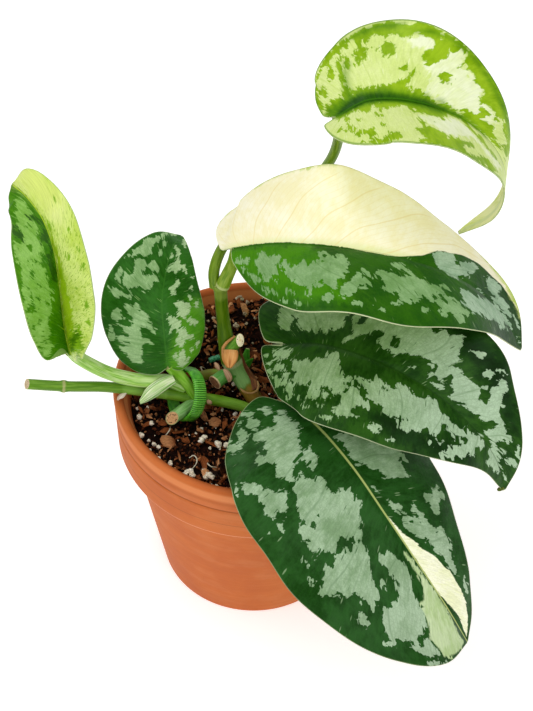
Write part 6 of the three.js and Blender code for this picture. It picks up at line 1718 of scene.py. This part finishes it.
# Painted shade down the hollow middle of the cup.
paintedCreaseShade = shading.times(shading.ramp(offMiddle, 1.3, 0.1), shading.ramp(across["X"], 1.5, 5.0))
colour = shading.paint(colour, "8f4c1a", paintedCreaseShade, 0.8)
colour = shading.paint(colour, "9a5a24", shading.ramp(offMiddle, 2.5, 2.9), 0.6)
dress(shading, surface, colour, 0.7, 0.25, fibres, 0.6)
collarSkin = dryMaterial("collar", ("b06c2c", "dc9c54", "e6bc84"))
finishPiece("dry_bud_scale", scaleMesh, [cupSkin, collarSkin], "bud_scale", slot="bud_scale")

# The old leaf base is a brown translucent skin down the side of the stem, ending in a pale lip.
oldSheath = {
    "route": [(-8, 5.2, 120.7), (-7, 4.6, 115.8), (-5.7, 3.4, 110.5), (-3.9, 1.6, 105.8), (-2.9, -0.6, 104.2),
              (-1.9, -2.5, 103)],
    "radii": [0.5, 0.9, 1.5, 2.7, 3.7, 3.7], "flat": 0.5, "wide": (0.75, -0.35, 0.3),
    "lip": [(0, -1, 107.6), (0.5, -3, 106.7), (-0.3, -5.2, 106), (-2.1, -6.6, 106.1), (-4.1, -6.6, 106.1),
            (-5.8, -5.8, 106.3), (-6.9, -4.6, 106.5)],
    "lipRadii": [0.3, 0.42, 0.45, 0.45, 0.42, 0.42, 0.3],
}
skinTube = tubeMesh(oldSheath["route"], oldSheath["radii"], flat=oldSheath["flat"], wide=oldSheath["wide"],
                    step=0.5)
lip = tubeMesh(oldSheath["lip"], oldSheath["lipRadii"], sides=12, step=0.4)
oldSkins = [dryMaterial("old_skin", ("52290f", "7e4a24", "9c6a38"), 0.45),
            dryMaterial("skin_lip", ("a87a44", "d0a870", "8a5c30"))]
finishPiece("papery_sheath", joinMeshes([skinTube, lip]), oldSkins, "brown_sheath", slot="dry_sheath")

# Small flat pieces: dry tan flaps at the foot of the near stub and above it, a torn bit of pale skin
# under the vine where it crosses the rim, the dried point of the middle leaf, bent aside, and the
# second blade of the young shoot.
flatBits = {
    "dry_flaps": {
        "bits": [
            ([(-14.2, -0.8, 113.7), (-13.3, -1.4, 113.3), (-12.2, -2.2, 111.8), (-11.6, -2.8, 110.4),
              (-11.7, -3.2, 108.7)], [0.4, 1.1, 1.3, 1.2, 0.5]),
            ([(-17.9, 1, 115.6), (-17, 0.4, 114.5), (-16.2, -0.2, 112.8)], [0.4, 1.0, 0.6]),
            ([(-20.2, -11.8, 106.5), (-19.5, -12.6, 106.1), (-18.7, -12.4, 104.9)], [0.5, 1.1, 0.5]),
        ],
        "flat": 0.4, "wide": (1, 0.1, 0.2), "step": 0.4, "slot": "bud_scale", "make": dryMaterial,
        "colours": ("cf9c74", "ecc8a4", "a86e48"),
    },
    "torn_skin": {
        "bits": [([(-53.4, -12.6, 110.4), (-55.0, -13.7, 109.6), (-56.4, -14.3, 108.6),
                   (-57.0, -14.5, 107.4)], [0.5, 1.0, 0.9, 0.3])],
        "flat": 0.4, "wide": (1, 0.1, 0.3), "step": 0.4, "slot": "bud_scale", "make": dryMaterial,
        "colours": ("e6dcc0", "fbf6e4", "b06a44"),
    },
    "dried_point": {
        "bits": [([(102.2, -38.2, 89.2), (101.6, -38.6, 89.1), (100.7, -38.8, 88.9), (99.6, -39.0, 88.3)],
                  [0.4, 0.8, 0.9, 0.5])],
        "flat": 0.5, "wide": (0, 0.7, 0.7), "step": 0.3, "slot": "silver_leaf", "make": dryMaterial,
        "colours": ("4c6a14", "66801e", "5a3c18"),
    },
    "shoot_blade": {
        "bits": [([(-5.8, 13.3, 99.0), (-5.0, 12.8, 102), (-4.0, 12.7, 104.2), (-2.4, 12.9, 106.4)],
                  [1.3, 1.7, 1.4, 0.4])],
        "flat": 0.4, "wide": (1, 0, -0.4), "step": 0.5, "slot": "green_stem", "make": fibreMaterial,
        "colours": ("2f8a14", "4fa62c", "7cbc50"),
    },
}
for name, look in flatBits.items():
    tubes = [tubeMesh(route, radii, flat=look["flat"], wide=look["wide"], sides=16, step=look["step"])
             for route, radii in look["bits"]]
    skin = look["make"](name, look["colours"])
    finishPiece(name, joinMeshes(tubes), [skin] * max(len(tubes), 2), slot=look["slot"])

greenWire = {
    "route": [(-20.8, 17.2, 99.6), (-18.8, 18.3, 99.8), (-16.6, 19.2, 99.9)], "radii": [1.2, 1.35, 1.2],
}
mesher = tubeMesh(greenWire["route"], greenWire["radii"], rings=[(0.62, -0.3, 0.4)], step=0.3)
coating, shading, surface = newMaterial("wire_coating")
place = shading.attribute("stemPlan", "Vector")
scuffs = shading.noise(place, 1.2, 3.0, 0.6)
colour = shading.mix(shading.ramp(scuffs, 0.4, 0.65), asLinear("1c7a54"), asLinear("5cba8c"))
dress(shading, surface, colour, 0.3, 0.5)
finishPiece("coated_wire", mesher, [coating, coating], "green_wire", slot="coated_wire")
print("small pieces made")

# Floor, light and camera.
mesher = bmesh.new()
bmesh.ops.create_grid(mesher, x_segments=1, y_segments=1, size=4)
floorMesh = bpy.data.meshes.new("floor")
mesher.to_mesh(floorMesh)
mesher.free()
floor = bpy.data.objects.new("floor", floorMesh)
bpy.context.scene.collection.objects.link(floor)
floorPaint, shading, surface = newMaterial("floor")
dress(shading, surface, (0.9, 0.9, 0.9, 1), 0.9, 0.1)
surface.inputs["Emission Color"].default_value = (1, 1, 1, 1)
surface.inputs["Emission Strength"].default_value = 0.5
floorMesh.materials.append(floorPaint)

studio = {
    "world": 0.5,
    "lamps": [
        {"name": "key", "place": (-350, -350, 950), "size": 0.8, "power": 2.6},
        {"name": "overhead", "place": (-180, 120, 1000), "size": 0.35, "power": 1.6},
        {"name": "right", "place": (500, -650, 650), "size": 0.8, "power": 2.4},
    ],
    "aim": (0, 0, 110),
}
world = bpy.data.worlds.new("studio")
bpy.context.scene.world = world
world.use_nodes = True
world.node_tree.nodes["Background"].inputs["Color"].default_value = (1, 1, 1, 1)
world.node_tree.nodes["Background"].inputs["Strength"].default_value = studio["world"]
for lamp in studio["lamps"]:
    light = bpy.data.lights.new(lamp["name"], "AREA")
    light.shape = "DISK"
    light.size = lamp["size"]
    light.energy = lamp["power"]
    holder = bpy.data.objects.new(lamp["name"], light)
    bpy.context.scene.collection.objects.link(holder)
    spot = Vector(toRow(lamp["place"]))
    holder.location = spot
    holder.rotation_euler = (Vector(toRow(studio["aim"])) - spot).to_track_quat("-Z", "Y").to_euler()

view = {
    "eye": (3.344, -543.263, 688.177),
    "right": (0.99932, 0.02664, 0.02556),
    "up": (-0.03692, 0.72107, 0.69188),
    "ahead": (0, 0.69235, -0.72156),
    "lens": 96.948,
    "sensorHeight": 36,
}
camera = bpy.data.cameras.new("camera")
camera.lens = view["lens"]
camera.sensor_fit = "VERTICAL"
camera.sensor_height = view["sensorHeight"]
camera.clip_start = 0.01
holder = bpy.data.objects.new("camera", camera)
bpy.context.scene.collection.objects.link(holder)
turn = Matrix((view["right"], view["up"], [-part for part in view["ahead"]])).transposed().to_4x4()
holder.matrix_world = Matrix.Translation(Vector(toRow(view["eye"]))) @ turn
bpy.context.scene.camera = holder
bpy.context.scene.view_settings.view_transform = "Standard"
print("stage set")
